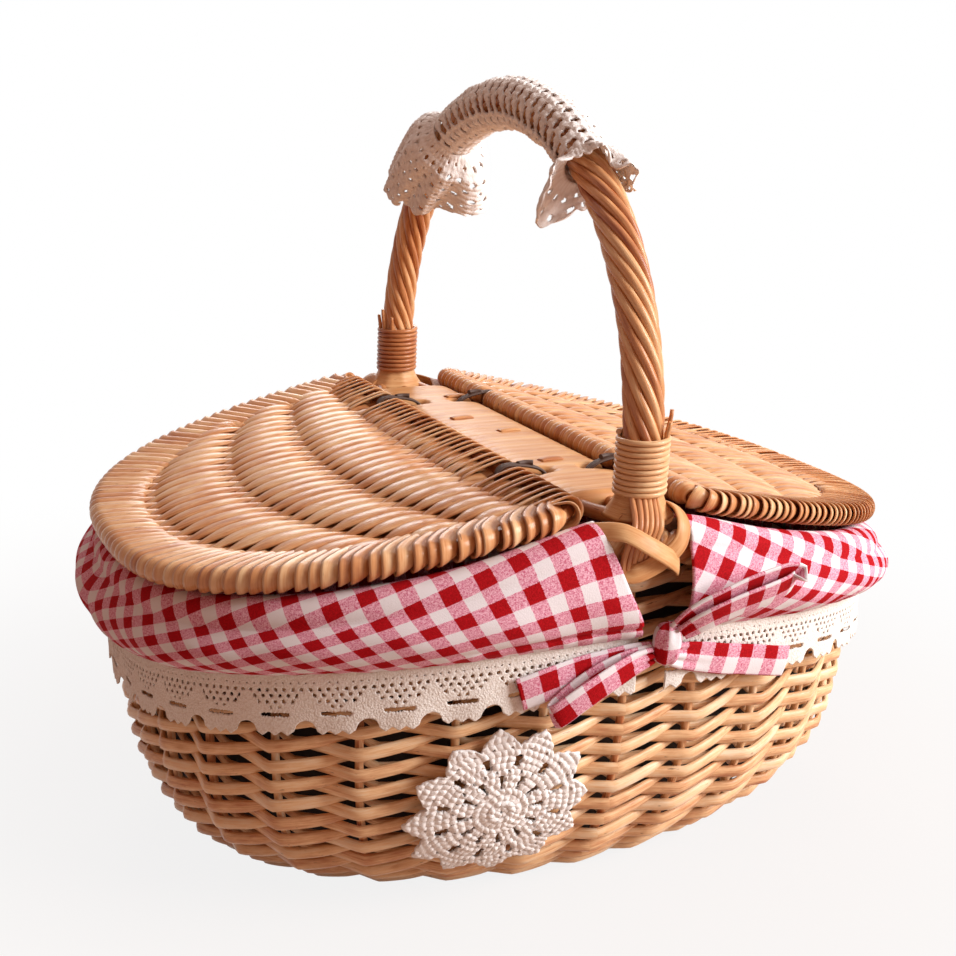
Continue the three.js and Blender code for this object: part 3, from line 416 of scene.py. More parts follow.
willow = makeWillow("willow", srgb(160, 86, 48), srgb(214, 154, 102), srgb(244, 212, 168), 0.18)
lidWillow = makeWillow("lidWillow", srgb(156, 82, 44), srgb(210, 148, 96), srgb(242, 208, 162), 0.36)
wallWillow = makeWillow("wallWillow", srgb(186, 108, 64), srgb(240, 196, 148), srgb(254, 240, 214), 0.2)
skein = makeWillow("skein", srgb(168, 100, 58), srgb(204, 146, 94), srgb(230, 188, 138), 0.08)
rodWillow = makeWillow("rodWillow", srgb(120, 62, 34), srgb(176, 110, 64), srgb(206, 150, 98), 0.2)
plainWillow = makeWillow("plainWillow", srgb(130, 70, 38), srgb(190, 126, 76), srgb(224, 176, 118), 0.2, True)
brownTie = makePlain("brownTie", srgb(74, 44, 28), 0.6)
gingham = makeGingham("gingham", (srgb(184, 14, 26), srgb(150, 6, 14)),
                      (srgb(242, 196, 212), srgb(200, 98, 128)), srgb(234, 229, 233))
# dark grey lining for the bag's outer face: painted shade for the dark seen through the wall's gaps
backing = makePlain("backing", srgb(62, 58, 56), 0.9)
laceCotton = makeCotton("laceCotton", srgb(246, 243, 238), srgb(230, 222, 212), 0.9)
crochet = makeCotton("crochet", srgb(254, 253, 252), srgb(236, 230, 226), 2.2)

print("stage: wall")
wall = dict(stakes=30, first=math.radians(-90.8), stakeRadius=1.9, middle=-4.4, thick=1.6, tall=(2.0, 3.0),
            reach=4.3, rise=5.6, firstRow=16.6, pitch=9.909, steps=12, rows=11, partRows=(5, 4, 3, 2, 1))


# pair of flat rods, one before and one behind each stake: from before a stake a rod climbs over the other to
# behind the next one, drops there and runs level to before the stake after it
def pairing(stakes, z, thick, tall, reach, rise, closed):
    angle = wall["first"] + stakes * 2 * pi / wall["stakes"]
    around, share = stakes / wall["stakes"], stakes % 1
    chord = 4 * share * (1 - share)
    paths, high = [], []
    for phase in (0, 1):
        swing = pi * (stakes + phase)
        before = np.cos(swing)
        taut = np.arcsin(0.985 * before) / math.asin(0.985)
        turn = (stakes + phase) % 2
        lift = rise * np.clip((turn - 0.02) / 0.84, 0, 1) * ease(1.16, 0.9, turn)
        lift = lift + 0.35 * wander(around, 9, int(z * 10) + phase)
        out = reach * taut + 1.2 * thick * np.sin(swing) - chord
        out = out + 0.3 * wander(around, 13, int(z * 7) + phase)
        paths.append(wallPoint(angle, z + lift, wall["middle"] + out))
        even = 1 + 0.07 * wander(around, 7, int(z * 3) + phase)
        high.append(lerp(*tall, ease(-1, 0.1, before)) * even / thick)
    return tubes(np.array(paths), thick, upward, 8, closed, np.array(high), rng.uniform(0.25, 0.8, 2))


allRound = np.arange(wall["stakes"] * wall["steps"]) / wall["steps"]
stakeGap = 2 * pi / wall["stakes"]
rows = []
rod = wall["thick"], wall["tall"], wall["reach"]
for k in range(wall["rows"]):
    rows.append(pairing(allRound, wall["firstRow"] + wall["pitch"] * k, *rod, wall["rise"], True))
# shorter rows fill the wall up to the rim at the front and the rear
for k, half in enumerate(wall["partRows"], wall["rows"]):
    for middle in (0, wall["stakes"] // 2):
        part = np.arange(-half * wall["steps"], half * wall["steps"] + 1) / wall["steps"] + middle
        below = 3 * (wall["rows"] + len(wall["partRows"]) - k)
        top = wallTop(wall["first"] + part * stakeGap).min() - below
        z = min(wall["firstRow"] + wall["pitch"] * k, top)
        rows.append(pairing(part, z, *rod, 0.5 * wall["rise"], False))
stakeAngle = wall["first"] + np.arange(wall["stakes"])[:, None] * stakeGap
stakeAngle = stakeAngle + rng.normal(0, 0.004, (wall["stakes"], 1))
stakeHigh = lerp(4, wallTop(stakeAngle) + 3, np.linspace(0, 1, 26))
stakes = wallPoint(stakeAngle, stakeHigh, wall["middle"])
rows.append(tubes(stakes, wall["stakeRadius"], np.cross(outward(stakeAngle), upward)))
addPiece("wallWeave", rows, [wallWillow], ["side_weave"])
foot = dict(rows=(3.2, 9.4), thick=1.6, tall=(1.7, 2.6), reach=3.4, rise=2.8)
rod = foot["thick"], foot["tall"], foot["reach"], foot["rise"]
rows = [pairing(allRound, z, *rod, True) for z in foot["rows"]]
addPiece("footWeave", rows, [wallWillow], ["foot_wale"])

# base: rings woven over and under straight sticks
base = dict(rings=21, ringRadius=2.1, inset=8, middle=4.4, swing=1.7, sticks=4, stickGap=34, stickRadius=1.9)
angle = np.linspace(0, 2 * pi, 97)[:-1]
a, b, power = wallSize(8 / wallTop(angle))
rings = []
for k, share in enumerate(np.linspace(0.1, 0.955, base["rings"])):
    x, y = oval((a - base["inset"]) * share, (b - base["inset"]) * share, power, angle)
    rings.append(stack(x, y, base["middle"] + base["swing"] * np.cos(8 * angle + pi * k)))
parts = [tubes(np.array(rings), base["ringRadius"], upward, 6, True)]
for k in range(base["sticks"]):
    off = (k - (base["sticks"] - 1) / 2) * base["stickGap"]
    for across in (False, True):
        reach = 92 - 0.003 * off ** 2 if across else 132 - 0.004 * off ** 2
        run = np.linspace(-reach, reach, 24)
        line = stack(off * 1.4, run, base["middle"]) if across else stack(run, off * 0.7, base["middle"])
        parts.append(tubes(line[None], base["stickRadius"], upward, 6))
addPiece("baseWeave", parts, [willow], ["base_panel"])

# rim: three rods twisted round each other
rim = dict(rods=3, twists=40, ring=4.2, radius=4.0)
angle = np.linspace(0, 2 * pi, 361)[:-1]
turn = rim["twists"] * angle + 2 * pi * np.arange(rim["rods"])[:, None] / rim["rods"]
middle = stack(*oval(*rimOval, angle), rimMiddle(angle))
twisted = middle + rim["ring"] * (np.cos(turn)[..., None] * outward(angle) + np.sin(turn)[..., None] * upward)
rods = tubes(twisted, rim["radius"], outward(angle)[None], 10, True)
addPiece("rimRods", [rods], [willow], ["rim_border"])

print("stage: handle")
bow = dict(strands=10, ring=6.75, radius=2.18, slant=math.radians(22), low=196, footStrands=6, footRadius=1.4)
whipping = dict(low=193.4, turns=10.4, pitch=2.5, ring=10.55, radius=1.25)
t = np.linspace(0, pi, 600)
leg = np.linspace(bow["low"], springZ - 0.5, 8)
arch = stack(0, -legY * np.cos(t), springZ + bowRise * np.sin(t))
ropeLine = resample(np.concatenate([stack(0, -legY, leg), arch, stack(0, legY, leg[::-1])]), 300)
ropeRun = lengths(ropeLine)
along = unit(np.gradient(ropeLine, axis=0))
ropeDeep = np.cross([1.0, 0, 0], along)


# place round the bow: distance along it, turn from +X towards the outside, distance from its middle
def roundBow(distance, turn, radius):
    centre, out = (placesAt(distance, ropeRun, line) for line in (ropeLine, ropeDeep))
    aside = np.cos(turn)[..., None] * np.array([1.0, 0, 0])
    return centre + radius[..., None] * (aside + np.sin(turn)[..., None] * out)


strands = []
twist, share = math.tan(bow["slant"]) / bow["ring"], ropeRun / ropeRun[-1]
for k in range(bow["strands"]):
    turn = 2 * pi * k / bow["strands"] + twist * ropeRun + 0.06 * wander(share, 6, 40 + k)
    strands.append(roundBow(ropeRun, turn, bow["ring"] + 0.12 * wander(share, 8, 60 + k)))
rope = [tubes(np.array(strands), bow["radius"], ropeDeep[None], 10)]
# below each whipping the strands spread to a flat row outside the rim and lean to one side
down = np.linspace(201, 164, 40)
spreading = ease(198, 182, down)
for side in (-1, 1):
    feet = []
    for k in range(bow["footStrands"]):
        place = k - (bow["footStrands"] - 1) / 2
        x = place * lerp(2.2, 2.6, spreading) - 1.5 - 9 * ease(199, 168, down)
        bulge = np.sqrt(np.maximum(7.2 ** 2 - (place * 2.2) ** 2, 0)) * (1 - spreading)
        y = legY + (footY - legY) * spreading + bulge
        feet.append(stack(-side * x, side * y, down))
    rope.append(tubes(np.array(feet), bow["footRadius"], [1, 0, 0], 8))
    ends = []  # cut rod ends beside the handle, above the whipping
    for k, turn in enumerate((-0.25, 0.3, 0.85)):
        turn = turn if side < 0 else pi - turn
        high = np.linspace(212, 226 + 4 * (k % 2), 8)
        out = 9.9 + 1.6 * ease(216, 230, high)
        ends.append(stack(out * math.cos(turn), side * legY - out * math.sin(turn), high))
    rope.append(tubes(np.array(ends), np.linspace(1.25, 0.9, 8)[None], [0.3, 1, 0], 8))
addPiece("handleRope", rope, [lidWillow], ["handle_rope"])

for side, name in ((-1, "front"), (1, "rear")):
    turn = np.linspace(0, 2 * pi * whipping["turns"], 420)
    radius = whipping["ring"] + 0.12 * wander(turn / turn[-1], 17, 5 + side)
    z = whipping["low"] + whipping["pitch"] * turn / (2 * pi)
    wound = stack(radius * np.cos(turn), side * legY + radius * np.sin(turn), z)
    rod = tubes(wound[None], whipping["radius"], upward, 8)
    addPiece(name + "Whip", [rod], [lidWillow], [name + "_whipping"])

print("stage: bridge")
bridge = dict(half=24.0, length=112.0, middle=183.0, thick=5.5, tie=72.0, rods=182.5, rodRadius=3.4,
              straps=((13, 79), (6, -1), (-1, -58), (-6, 30)))
# deck: flat band with rounded edges, wrapped by skeins whose joins are shallow grooves
y = np.linspace(-bridge["length"], bridge["length"], 420)
turn = 2 * pi * np.arange(48) / 48
wrap = np.abs(np.sin(pi * y / 5.6)) ** 0.35
notch = 1 - 0.63 * np.exp(-((np.abs(y) - bridge["tie"]) / 5.4) ** 6)
c, s = np.cos(turn), np.sin(turn)
flatX = np.sign(c) * np.abs(c) ** 0.42
groove = (1 - wrap)[:, None] * lerp(0.25, 0.8, np.abs(flatX) ** 4)[None]
halfX = (bridge["half"] * notch)[:, None] - groove
end = np.sqrt(np.clip(1 - ((np.abs(y) - 108) / 4.2).clip(0, 1) ** 2, 0.05, 1))[:, None]
z = bridge["middle"] + (bridge["thick"] - groove) * np.sign(s) * np.abs(s) ** 0.8 * end
uv = stack(np.linspace(0, 0.11, 49)[None], y[:, None] * 0.02)
parts = [surface(stack(flatX[None] * halfX, y[:, None], z), uv, False, True, tone=0.7)]
# raised skeins tucked in across the top
q = np.linspace(-1, 1, 15)
for x, y in bridge["straps"]:
    strap = stack(x + 6 * q, y + 0.6 * q, bridge["middle"] + bridge["thick"] + 0.7 * (1 - q ** 4) - 0.3)
    parts.append(tubes(strap[None], 0.9, [0, 1, 0], 8, squash=3.0))
addPiece("bridgeDeck", parts, [skein], ["bridge_deck"])
for x, name, half in ((-15, "left", 141), (0, "middle", 124.6), (15, "right", 141)):
    y = np.linspace(-half, half, 90)
    bent = ease(112, 138, np.abs(y))
    line = stack(x * (1 - 0.3 * bent), y, bridge["rods"] + 1.2 * bent)
    rod = tubes(line[None], bridge["rodRadius"], upward, 12)
    addPiece(name + "BridgeRod", [rod], [rodWillow], ["bridge_rod_" + name])
# ties: dark strap wound round a bridge rod and a hinge stick, with a small knot on top
tie = dict(turns=2.6, x=23.5, z=184.6, half=(13.0, 6.6), thick=0.75, knotX=22, knotZ=192, knotRadius=1.2)
turn = np.linspace(0, 2 * pi * tie["turns"], 150)
c, s = np.cos(turn), np.sin(turn)
outX = tie["half"][0] * np.sign(c) * np.abs(c) ** 0.7
z = tie["z"] + 2.2 * outX / tie["half"][0] + tie["half"][1] * np.sign(s) * np.abs(s) ** 0.8
q = np.linspace(0, 1, 12)
for side, name in ((-1, "left"), (1, "right")):
    for end, place in ((-1, "front"), (1, "rear")):
        y = end * bridge["tie"]
        strap = stack(side * (tie["x"] + outX), y + lerp(-1.5, 1.5, turn / turn[-1]), z)
        tied = stack(side * (tie["knotX"] + lerp(-4, 4, q)), y + 1.2 * np.sin(pi * q), tie["knotZ"])
        parts = [tubes(strap[None], tie["thick"], [0, 1, 0], 8, squash=1.5),
                 tubes(tied[None], tie["knotRadius"], upward, 8)]
        title = name + place.title() + "Tie"
        addPiece(title, parts, [brownTie], [name + "_hinge_tie_" + place])

# bands outside the rim: one slants over the strands, the other wraps the rod's end, runs down beside the
# strands and under the first; a skein flares round each foot of the handle
bands = dict(
    thick=0.95, wide=dict(over=4.2, under=4.0), flare=(10.6, 5.5), collar=(194.2, 184.5),
    over=[(-33, -137, 178), (-27, -143.5, 181.5), (-18.5, -153, 183.4), (-9, -158, 178.6), (1, -157.8, 172.5),
          (8, -155, 167.5), (11, -149, 164), (10.5, -142, 162.5)],
    under=[(13, -131, 187.2), (14, -141.5, 188.2), (12.5, -150.5, 184.5), (9.5, -154.3, 177.5),
           (3, -155, 171.5), (-5, -155, 167.5), (-13, -154.5, 165.2), (-18.5, -150, 165.5)])
q, turn = np.linspace(0, 1, 10)[:, None], np.linspace(0, 2 * pi, 49)[:-1][None]
flare = bands["flare"][0] + bands["flare"][1] * q ** 1.6 + 0.25 * np.sin(9 * turn)
collar = stack(flare * np.cos(turn), -legY + flare * 0.85 * np.sin(turn), lerp(*bands["collar"], q))
uv = stack(np.linspace(0, 1, 49)[None] * 0.07, q)
for name, turnBy in (("front", 0), ("rear", pi)):
    for layer in ("over", "under"):
        band = through(bands[layer], 48)
        face = unit(np.cross(np.gradient(band, axis=0), [0.3, -1, 0.45]))
        parts = [tubes(turnAbout(band, turnBy)[None], bands["thick"], turnAbout(face, turnBy)[None], 14,
                       squash=bands["wide"][layer] / bands["thick"])]
        if layer == "under":
            parts.append(surface(turnAbout(collar[::-1], turnBy), uv, False, True, tone=0.8))
        addPiece(name + layer.title() + "Band", parts, [skein], [f"{name}_lashing_{layer}"])

print("stage: lids")
lid = dict(pitch=4.5, firstY=-131.4, thick=1.3, wide=(2.35, 4.9), swing=2.8, reach=165.0, bow=0.5, corner=9.0)
border = dict(pitch=dict(left=5.9, right=4.8), strip=0.74, thick=0.7, inward=18.0, outward=5.2, high=5.0,
              skew=13.0, tieGap=4.2)


# a lid's own places (x out from the hinge, z square to the panel) in the basket's frame
def lidPlace(points, side):
    x, y, z = points[..., 0], points[..., 1], points[..., 2]
    out = hingeX + x * math.cos(lean) + z * math.sin(lean)
    return stack(side * out, side * y, hingeZ - x * math.sin(lean) + z * math.cos(lean))


# hoop: the hinge's straight side, a curve round each corner and the oval
cornerX = hingeX + lid["corner"]
cornerY = float(ovalWidth(*lidOval, cornerX))
straight = float(ovalWidth(*lidOval, hingeX)) - lid["corner"]
q = np.linspace(0, 1, 40)[:, None]
corner = np.hstack([lid["corner"] * q ** 2, -lerp(straight, cornerY, 1 - (1 - q) ** 2), 0 * q])
startAngle = math.atan2(cornerY / lidOval[1], cornerX / lidOval[0])
x, y = oval(*lidOval, np.linspace(-startAngle, startAngle, 1200))
hoop = np.concatenate([corner, stack(x - hingeX, y, 0 * x)[1:-1], (corner * [1, -1, 1])[::-1],
                       stack(0, np.linspace(straight, -straight, 400), 0)[1:]])
hoopRun = lengths(hoop)

for side, name in ((-1, "left"), (1, "right")):
    ys = np.arange(lid["firstY"], 0.2 - lid["firstY"], lid["pitch"])
    weavers, wide = [], []
    for k, y in enumerate(ys + rng.normal(0, 0.2, len(ys))):
        first = 9.0 if abs(abs(y) - bridge["tie"]) < 6 else 2.0
        last = ovalWidth(lidOval[1], lidOval[0], lidOval[2], y) - hingeX - 3.5
        x = np.linspace(first, last, 84)
        fade = ease(first - 2, first + 12, x) * ease(last + 2, last - 14, x)
        # over and under bowed ribs at quarters of the way to the hoop, spread wide on them and narrow between
        reach = lid["reach"] * (1 - lid["bow"] * (y / lidOval[1]) ** 2)
        swing = np.cos(4 * pi * x / reach + pi * k)
        swing = np.tanh(0.9 * swing) / math.tanh(0.9)
        weavers.append(stack(x, y + 0.35 * wander(x / 170, 3, 100 + k), lid["swing"] * swing * fade))
        even = 1 + 0.1 * wander(x / 170, 5, 200 + k)
        wide.append(lerp(*lid["wide"], ease(0.2, 0.95, np.abs(swing))) * even / lid["thick"])
    tones = rng.uniform(0.45, 0.9, len(ys))
    weavers = lidPlace(np.array(weavers), side)
    parts = [tubes(weavers, lid["thick"], [0, 1, 0], 10, False, np.array(wide), tones)]
    # border: flat strips wound round the hoop one by one, lapped like shingles, reaching further in than out
    # and slanting along the weavers on top, left off at the ties
    gap = border["tieGap"]
    firstTie, lastTie = (hoopRun[-1] - (straight + end * bridge["tie"]) for end in (1, -1))
    for start, stop in ((firstTie + gap, lastTie - gap), (lastTie + gap, hoopRun[-1] + firstTie - gap)):
        turns = round((stop - start) / border["pitch"][name])
        pitch = (stop - start) / turns
        share = np.linspace(0, 1, 25)[None]
        at = start + pitch * (np.arange(turns)[:, None] + share + 0.12 * rng.standard_normal((turns, 1)))
        phase = 1.3 * pi + 2 * pi * share + 0 * at
        centre, nextTo = (placesAt(a % hoopRun[-1], hoopRun, hoop) for a in (at, at + 0.5))
        ahead = unit(nextTo - centre)
        out = np.stack([ahead[..., 1], -ahead[..., 0], 0 * at], -1)
        c, s = np.cos(phase), np.sin(phase)
        reach = np.where(c > 0, border["outward"] * c, border["inward"] * c)
        onTop = np.maximum(-c, 0) ** 1.3 * (0.5 + 0.5 * np.tanh(4 * s))
        slant = border["skew"] * onTop * np.abs(ahead[..., 0])
        coil = centre + reach[..., None] * out - slant[..., None] * np.array([1, 0, 0])
        coil = coil + (border["high"] * s * (0.8 + 0.2 * c))[..., None] * upward
        face = unit(c[..., None] * out + s[..., None] * upward)
        lapped = 0.92 * -ahead + 0.4 * face
        lapped = lidPlace(lapped, side) - lidPlace(0 * lapped, side)
        broad = border["strip"] * pitch / border["thick"] * lerp(0.7, 1, ease(-0.9, 0.2, c))
        tones = rng.uniform(0.3, 0.95, turns)
        parts.append(tubes(lidPlace(coil, side), border["thick"], lapped, 8, False, broad, tones))
    addPiece(name + "LidWeave", parts, [lidWillow], [name + "_lid_weave"], body=name + "_lid")
# sticks inside the lids and the handle stay as they are in CAD
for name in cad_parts:
    if any(part in name for part in ("_lid_hoop", "_lid_hinge", "_lid_rib", "handle_core")):
        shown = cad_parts[name].data
        shown.materials.clear()
        shown.materials.append(plainWillow)

print("stage: liner")
# bag inside the wall: gingham inside, and outside a dark grey lining whose colour paints the shade seen
# through the wall's gaps
bag = dict(inset=12.6, low=9.6, below=1.2, folds=(0.9, 0.5), thick=1.2)
angle = np.linspace(0, 2 * pi, 241)[:-1, None]
high = np.linspace(1, 0, 40)
z = lerp(bag["low"], wallTop(angle) - bag["below"], high)
around = angle / (2 * pi)
fold = (bag["folds"][0] * wander(around, 14, 3) + bag["folds"][1] * wander(around, 31, 4)) * np.sin(pi * high)
bagSide = wallPoint(angle, z, np.minimum(fold, 0.4) - bag["inset"])
arc = lengths(np.concatenate([bagSide[:, 0], bagSide[:1, 0]])) * 0.001
uv = stack(arc[:, None], np.append(z, z[:1], 0) * 0.001)
shrink = np.linspace(1, 0.02, 30)
bottom = bagSide[:, -1:] * stack(shrink, shrink, 1)
bottomUv = np.append(bottom, bottom[:1], 0)[..., :2] * 0.001
parts = [surface(bagSide, uv, True), surface(bottom, bottomUv, True)]
parts[1]["caps"] = [np.arange(len(bottom))[::-1] * len(shrink) + len(shrink) - 1]
piece = addPiece("linerBag", parts, [backing, gingham], ["liner_bag"])
thicken(piece, bag["thick"], -1.0, 1)

# skirts over the rim: up inside, round the rim, then a puffed fall to the hem; the slits' edges run straight
# from top to hem and stand up a little
skirt = dict(radius=10.6, puff=8.0, hem=6.4, columns=420, front=(-25.5, -2.0), rear=(16.5, 12.5),
             slitLow=-37.3, stand=(5.5, 3.5), thick=1.1)
rearLow, frontLow = frontAngle(skirt["rear"][1]) - pi, frontAngle(skirt["front"][1])
rimRun = np.linspace(0, 4 * pi, 4001)
rimLine = stack(*oval(rimOval[0] + 7, rimOval[1] + 7, rimOval[2], rimRun))
rimArc = np.concatenate([[0], np.cumsum(np.hypot(*np.diff(rimLine, axis=0).T))])
drop = np.concatenate([np.linspace(-1, -0.15, 6), np.linspace(0, 1, 18), 1 + np.linspace(0, 1, 46)[1:]])[None]
fall = np.clip(drop - 1, 0, 1)


# out from and up from the rim's middle, to a hem at height low
def skirtProfile(low):
    f, r, turn = fall, skirt["radius"], pi * (1 - np.clip(drop, 0, 1))
    fallOut = (1 - f) ** 3 * r + 3 * f * (1 - f) * (r + skirt["puff"]) + f ** 3 * skirt["hem"]
    fallUp = 3 * f * (1 - f) ** 2 * 0.35 * low + 3 * f ** 2 * (1 - f) * 0.7 * low + f ** 3 * low
    over = r * np.sin(turn) + 10 * np.minimum(drop, 0)
    return np.where(drop > 1, fallOut, r * np.cos(turn)), np.where(drop > 1, fallUp, over)


edgeUp = skirtProfile(skirt["slitLow"])[1]
edgeShare = np.where(drop < 0.5, 0, (skirt["radius"] - edgeUp) / (skirt["radius"] - skirt["slitLow"]))
for side, name, seed in ((-1, "left", 20), (1, "right", 30)):
    across = np.linspace(0, 1, skirt["columns"])[:, None]
    rearEdge = frontAngle(lerp(*skirt["rear"], edgeShare)) - pi
    angle = lerp(rearEdge, frontAngle(lerp(*skirt["front"], edgeShare)), across)
    middle = rimMiddle(angle)
    out, up = skirtProfile(laceTop(angle) - 1.0 - middle)
    place, frontTop, rearTop = (np.interp(turn, rimRun, rimArc) for turn in (
        angle, frontAngle(skirt["front"][0]), frontAngle(skirt["rear"][0]) - pi))
    fromFront, fromRear = frontTop - place, place - rearTop
    frontStand, rearStand = np.exp(-(fromFront / 42) ** 2), np.exp(-(fromRear / 36) ** 2)
    stand = skirt["stand"][0] * frontStand + skirt["stand"][1] * rearStand
    up = up + stand * ease(0, 0.5, drop) * (1 - ease(0.9, 1.45, drop))
    around, f = angle / (2 * pi), fall
    soft = ease(0.08, 0.45, f) * (1 - 0.45 * ease(0.7, 1, f))
    folds = 1.5 * wander(around + 0.02 * f, 11, seed) + 0.9 * wander(around - 0.03 * f, 25, seed + 1)
    out = out + soft * folds
    out = out + 0.35 * ease(0.6, 1, f) * np.sin(2 * pi * around * 120 + 2 * wander(around, 9, seed + 2))
    out = out + 2.6 * np.abs(np.cos(angle)) ** 4 * ease(0, 0.4, f) * (1 - 0.7 * ease(0.6, 1, f))
    # soft crease above the hem, pulled in towards the bow
    out = out - 2.2 * np.exp(-((f - 0.82 + 0.001 * fromFront) / 0.05) ** 2) * np.exp(-(fromFront / 60) ** 2)
    points = stack(*oval(rimOval[0] + out, rimOval[1] + out, rimOval[2], angle), middle + up)
    # the cloth's threads: square to each slit there, slanting further away, the two halves blended at the end
    v = np.where(drop < 0, 10 * drop, np.where(drop < 1, 33 * drop, 33 + (drop - 1) * 44))
    near = np.minimum(fromFront, 165)
    slant = -0.0225 * near - 0.00161 * near ** 2 - 0.55 * (fromFront - near)
    frontUv = stack(-9.3 + 0.9755 * fromFront + (0.323 + 0.00289 * near) * v, -18.4 + 1.035 * v + slant)
    rearUv = stack(579.6 - 1.054 * fromRear - 0.775 * v, -41.2 - 0.268 * fromRear + 0.8 * v)
    uv = lerp(frontUv, rearUv, ease(-60, 60, fromFront - fromRear)[..., None]) * 0.001
    if side > 0:
        points = turnAbout(points, pi)
    piece = addPiece(name + "Skirt", [surface(points, uv)], [gingham], ["liner_skirt_" + name])
    thicken(piece, skirt["thick"])

# lace: eyelets in fans above a slot, arches cut in the lower edge between the slots
lace = dict(period=26.0, width=27.0, cell=0.7, arch=(4.6, 4.5), slot=(5.6, 19.6, 1.0), point=2.8, thick=0.8,
            eyelets=((5.6, 3.25, 0, 0.55, 13.1), (8.6, 3.7, 0, 0.9, 11.5), (11.2, 3.7, 1.85, 0.9, 9.6),
                     (13.8, 3.7, 0, 0.9, 7.6), (16.3, 3.7, 1.85, 0.8, 4)))


# distance from the middle of a repeat
def fromMiddle(u):
    half = lace["period"] / 2
    return (u + half) % lace["period"] - half


# distance to the nearest opening: rows of round eyelets (depth, pitch, shift, radius, reach) and a slot
def laceHoles(u, v):
    x = fromMiddle(u)
    d = np.full(np.broadcast(u, v).shape, 9.0)
    for depth, pitch, shift, radius, reach in lace["eyelets"]:
        near = np.round((x - shift) / pitch) * pitch + shift
        d = np.minimum(d, np.where(np.abs(near) > reach, 9, np.hypot(x - near, v - depth) - radius))
    half, depth, radius = lace["slot"]
    return np.minimum(d, np.hypot(np.maximum(np.abs(x) - half, 0), v - depth) - radius)


# the lower edge: round arches between repeats, and three points below each slot
def laceDepth(u):
    x, (half, high) = np.abs(fromMiddle(u)), lace["arch"]
    arch = high * np.sqrt(np.maximum(1 - ((lace["period"] / 2 - x) / half) ** 2, 0))
    point = 2.0 * (1 - np.abs((x / lace["point"] + 1) % 2 - 1)) * (x < 8.4)
    return lace["width"] - arch + point


for side, name, seed in ((-1, "left", 50), (1, "right", 60)):
    angle = np.linspace(rearLow, frontLow, 3000)
    run = lengths(wallPoint(angle, laceTop(angle), 5.0))
    u = np.arange(0, run[-1], lace["cell"])[:, None]
    v = lerp(-3.0, laceDepth(u), np.linspace(0, 1, 46)[None])
    u, v, keep = cutHoles(np.broadcast_to(u, v.shape), v, laceHoles, 0.34)
    at = np.interp(u, run, angle)
    flare = 0.5 * wander(u / 480, 14, seed) * ease(4, 26, v)
    flare = flare + 0.35 * np.sin(2 * pi * u / lace["period"]) * ease(8, 26, v)
    points = wallPoint(at, laceTop(at) - v, 4.7 + flare + 0.02 * np.maximum(v, 0))
    if side > 0:
        points = turnAbout(points, pi)
    cloth = surface(points, stack(u, v) * 0.001, keep=keep)
    piece = thicken(addPiece(name + "Lace", [cloth], [laceCotton], ["lace_" + name]), lace["thick"])

print("stage: bows")
knot = dict(x=7.0, z=131.5, out=13.2, half=(6.6, 6.0, 9.6))


# ribbon along places (x, height, distance out from the wall), its width towards across, gathered at the knot
# by pleats that die away
def ribbon(places, width, across, shift, loop, seed):
    route = np.array([frontPoint(np.array(x), np.array(z), out) for x, z, out in places])
    path = resample(through(route, 400), 100)
    run = lengths(path)
    ahead = unit(np.gradient(path, axis=0))
    across = np.asarray(across, float)
    across = unit(across - (ahead @ across)[:, None] * ahead)
    face = np.cross(ahead, across)
    face = face * np.sign(-face[:, 1] + 1e-6)[:, None]
    q = np.linspace(-1, 1, 19)[None]
    ends = (np.exp(-run / 9) + (np.exp(-(run[-1] - run) / 9) if loop else 0))[:, None]
    wide = width / 2 * (1 - 0.4 * ends) * q
    bend = 1.3 * ends * np.cos(2.5 * pi * q) + 0.7 * (1 - q ** 2)
    bend = bend + 0.6 * wander(run / 60, 1.5, seed)[:, None]
    points = path[:, None] + wide[..., None] * across[:, None] + bend[..., None] * face[:, None]
    return points, stack(run[:, None] + 3 * seed, width / 2 * q + shift) * 0.001


ribbons = {
    "tail_left": ribbon([(2, 127, 9.5), (-15, 123.6, 7.6), (-32, 121, 7.2), (-46, 118, 7.2),
                         (-58.7, 114.3, 7.2)], 14.5, (0.3, 0, 1), 2, False, 1),
    "tail_right": ribbon([(11, 124.5, 9.5), (30, 119.6, 7.6), (46.5, 115.7, 7.2), (65, 111.5, 7.2),
                          (82, 107.7, 7.2)], 14.5, (0.17, 0, 1), -1.6, False, 2),
    "loop_left": ribbon([(1, 127.5, 11), (-14, 123.4, 9.8), (-26, 118.3, 9.6), (-37, 111.6, 10.2),
                         (-44.5, 106.4, 11.6), (-46, 105.2, 13.2), (-43.5, 106.9, 14.8), (-35, 112.8, 15.6),
                         (-23, 119.2, 15.2), (-11, 124.2, 14.2), (0, 127, 13)],
                        11.5, (-0.42, 0, 1), 5, True, 3),
    "loop_right": ribbon([(10, 138, 14), (17, 147, 19), (28, 152.5, 22.5), (40, 156.4, 24), (52, 158.8, 24.6),
                          (60, 159.4, 25), (64.5, 157.6, 25.2), (60, 155, 25.4), (48, 152.4, 25.4),
                          (34, 148.9, 24.6), (22, 144.4, 22), (12, 137, 16)],
                         16, (-0.2, -0.5, 0.84), 1, True, 4),
}
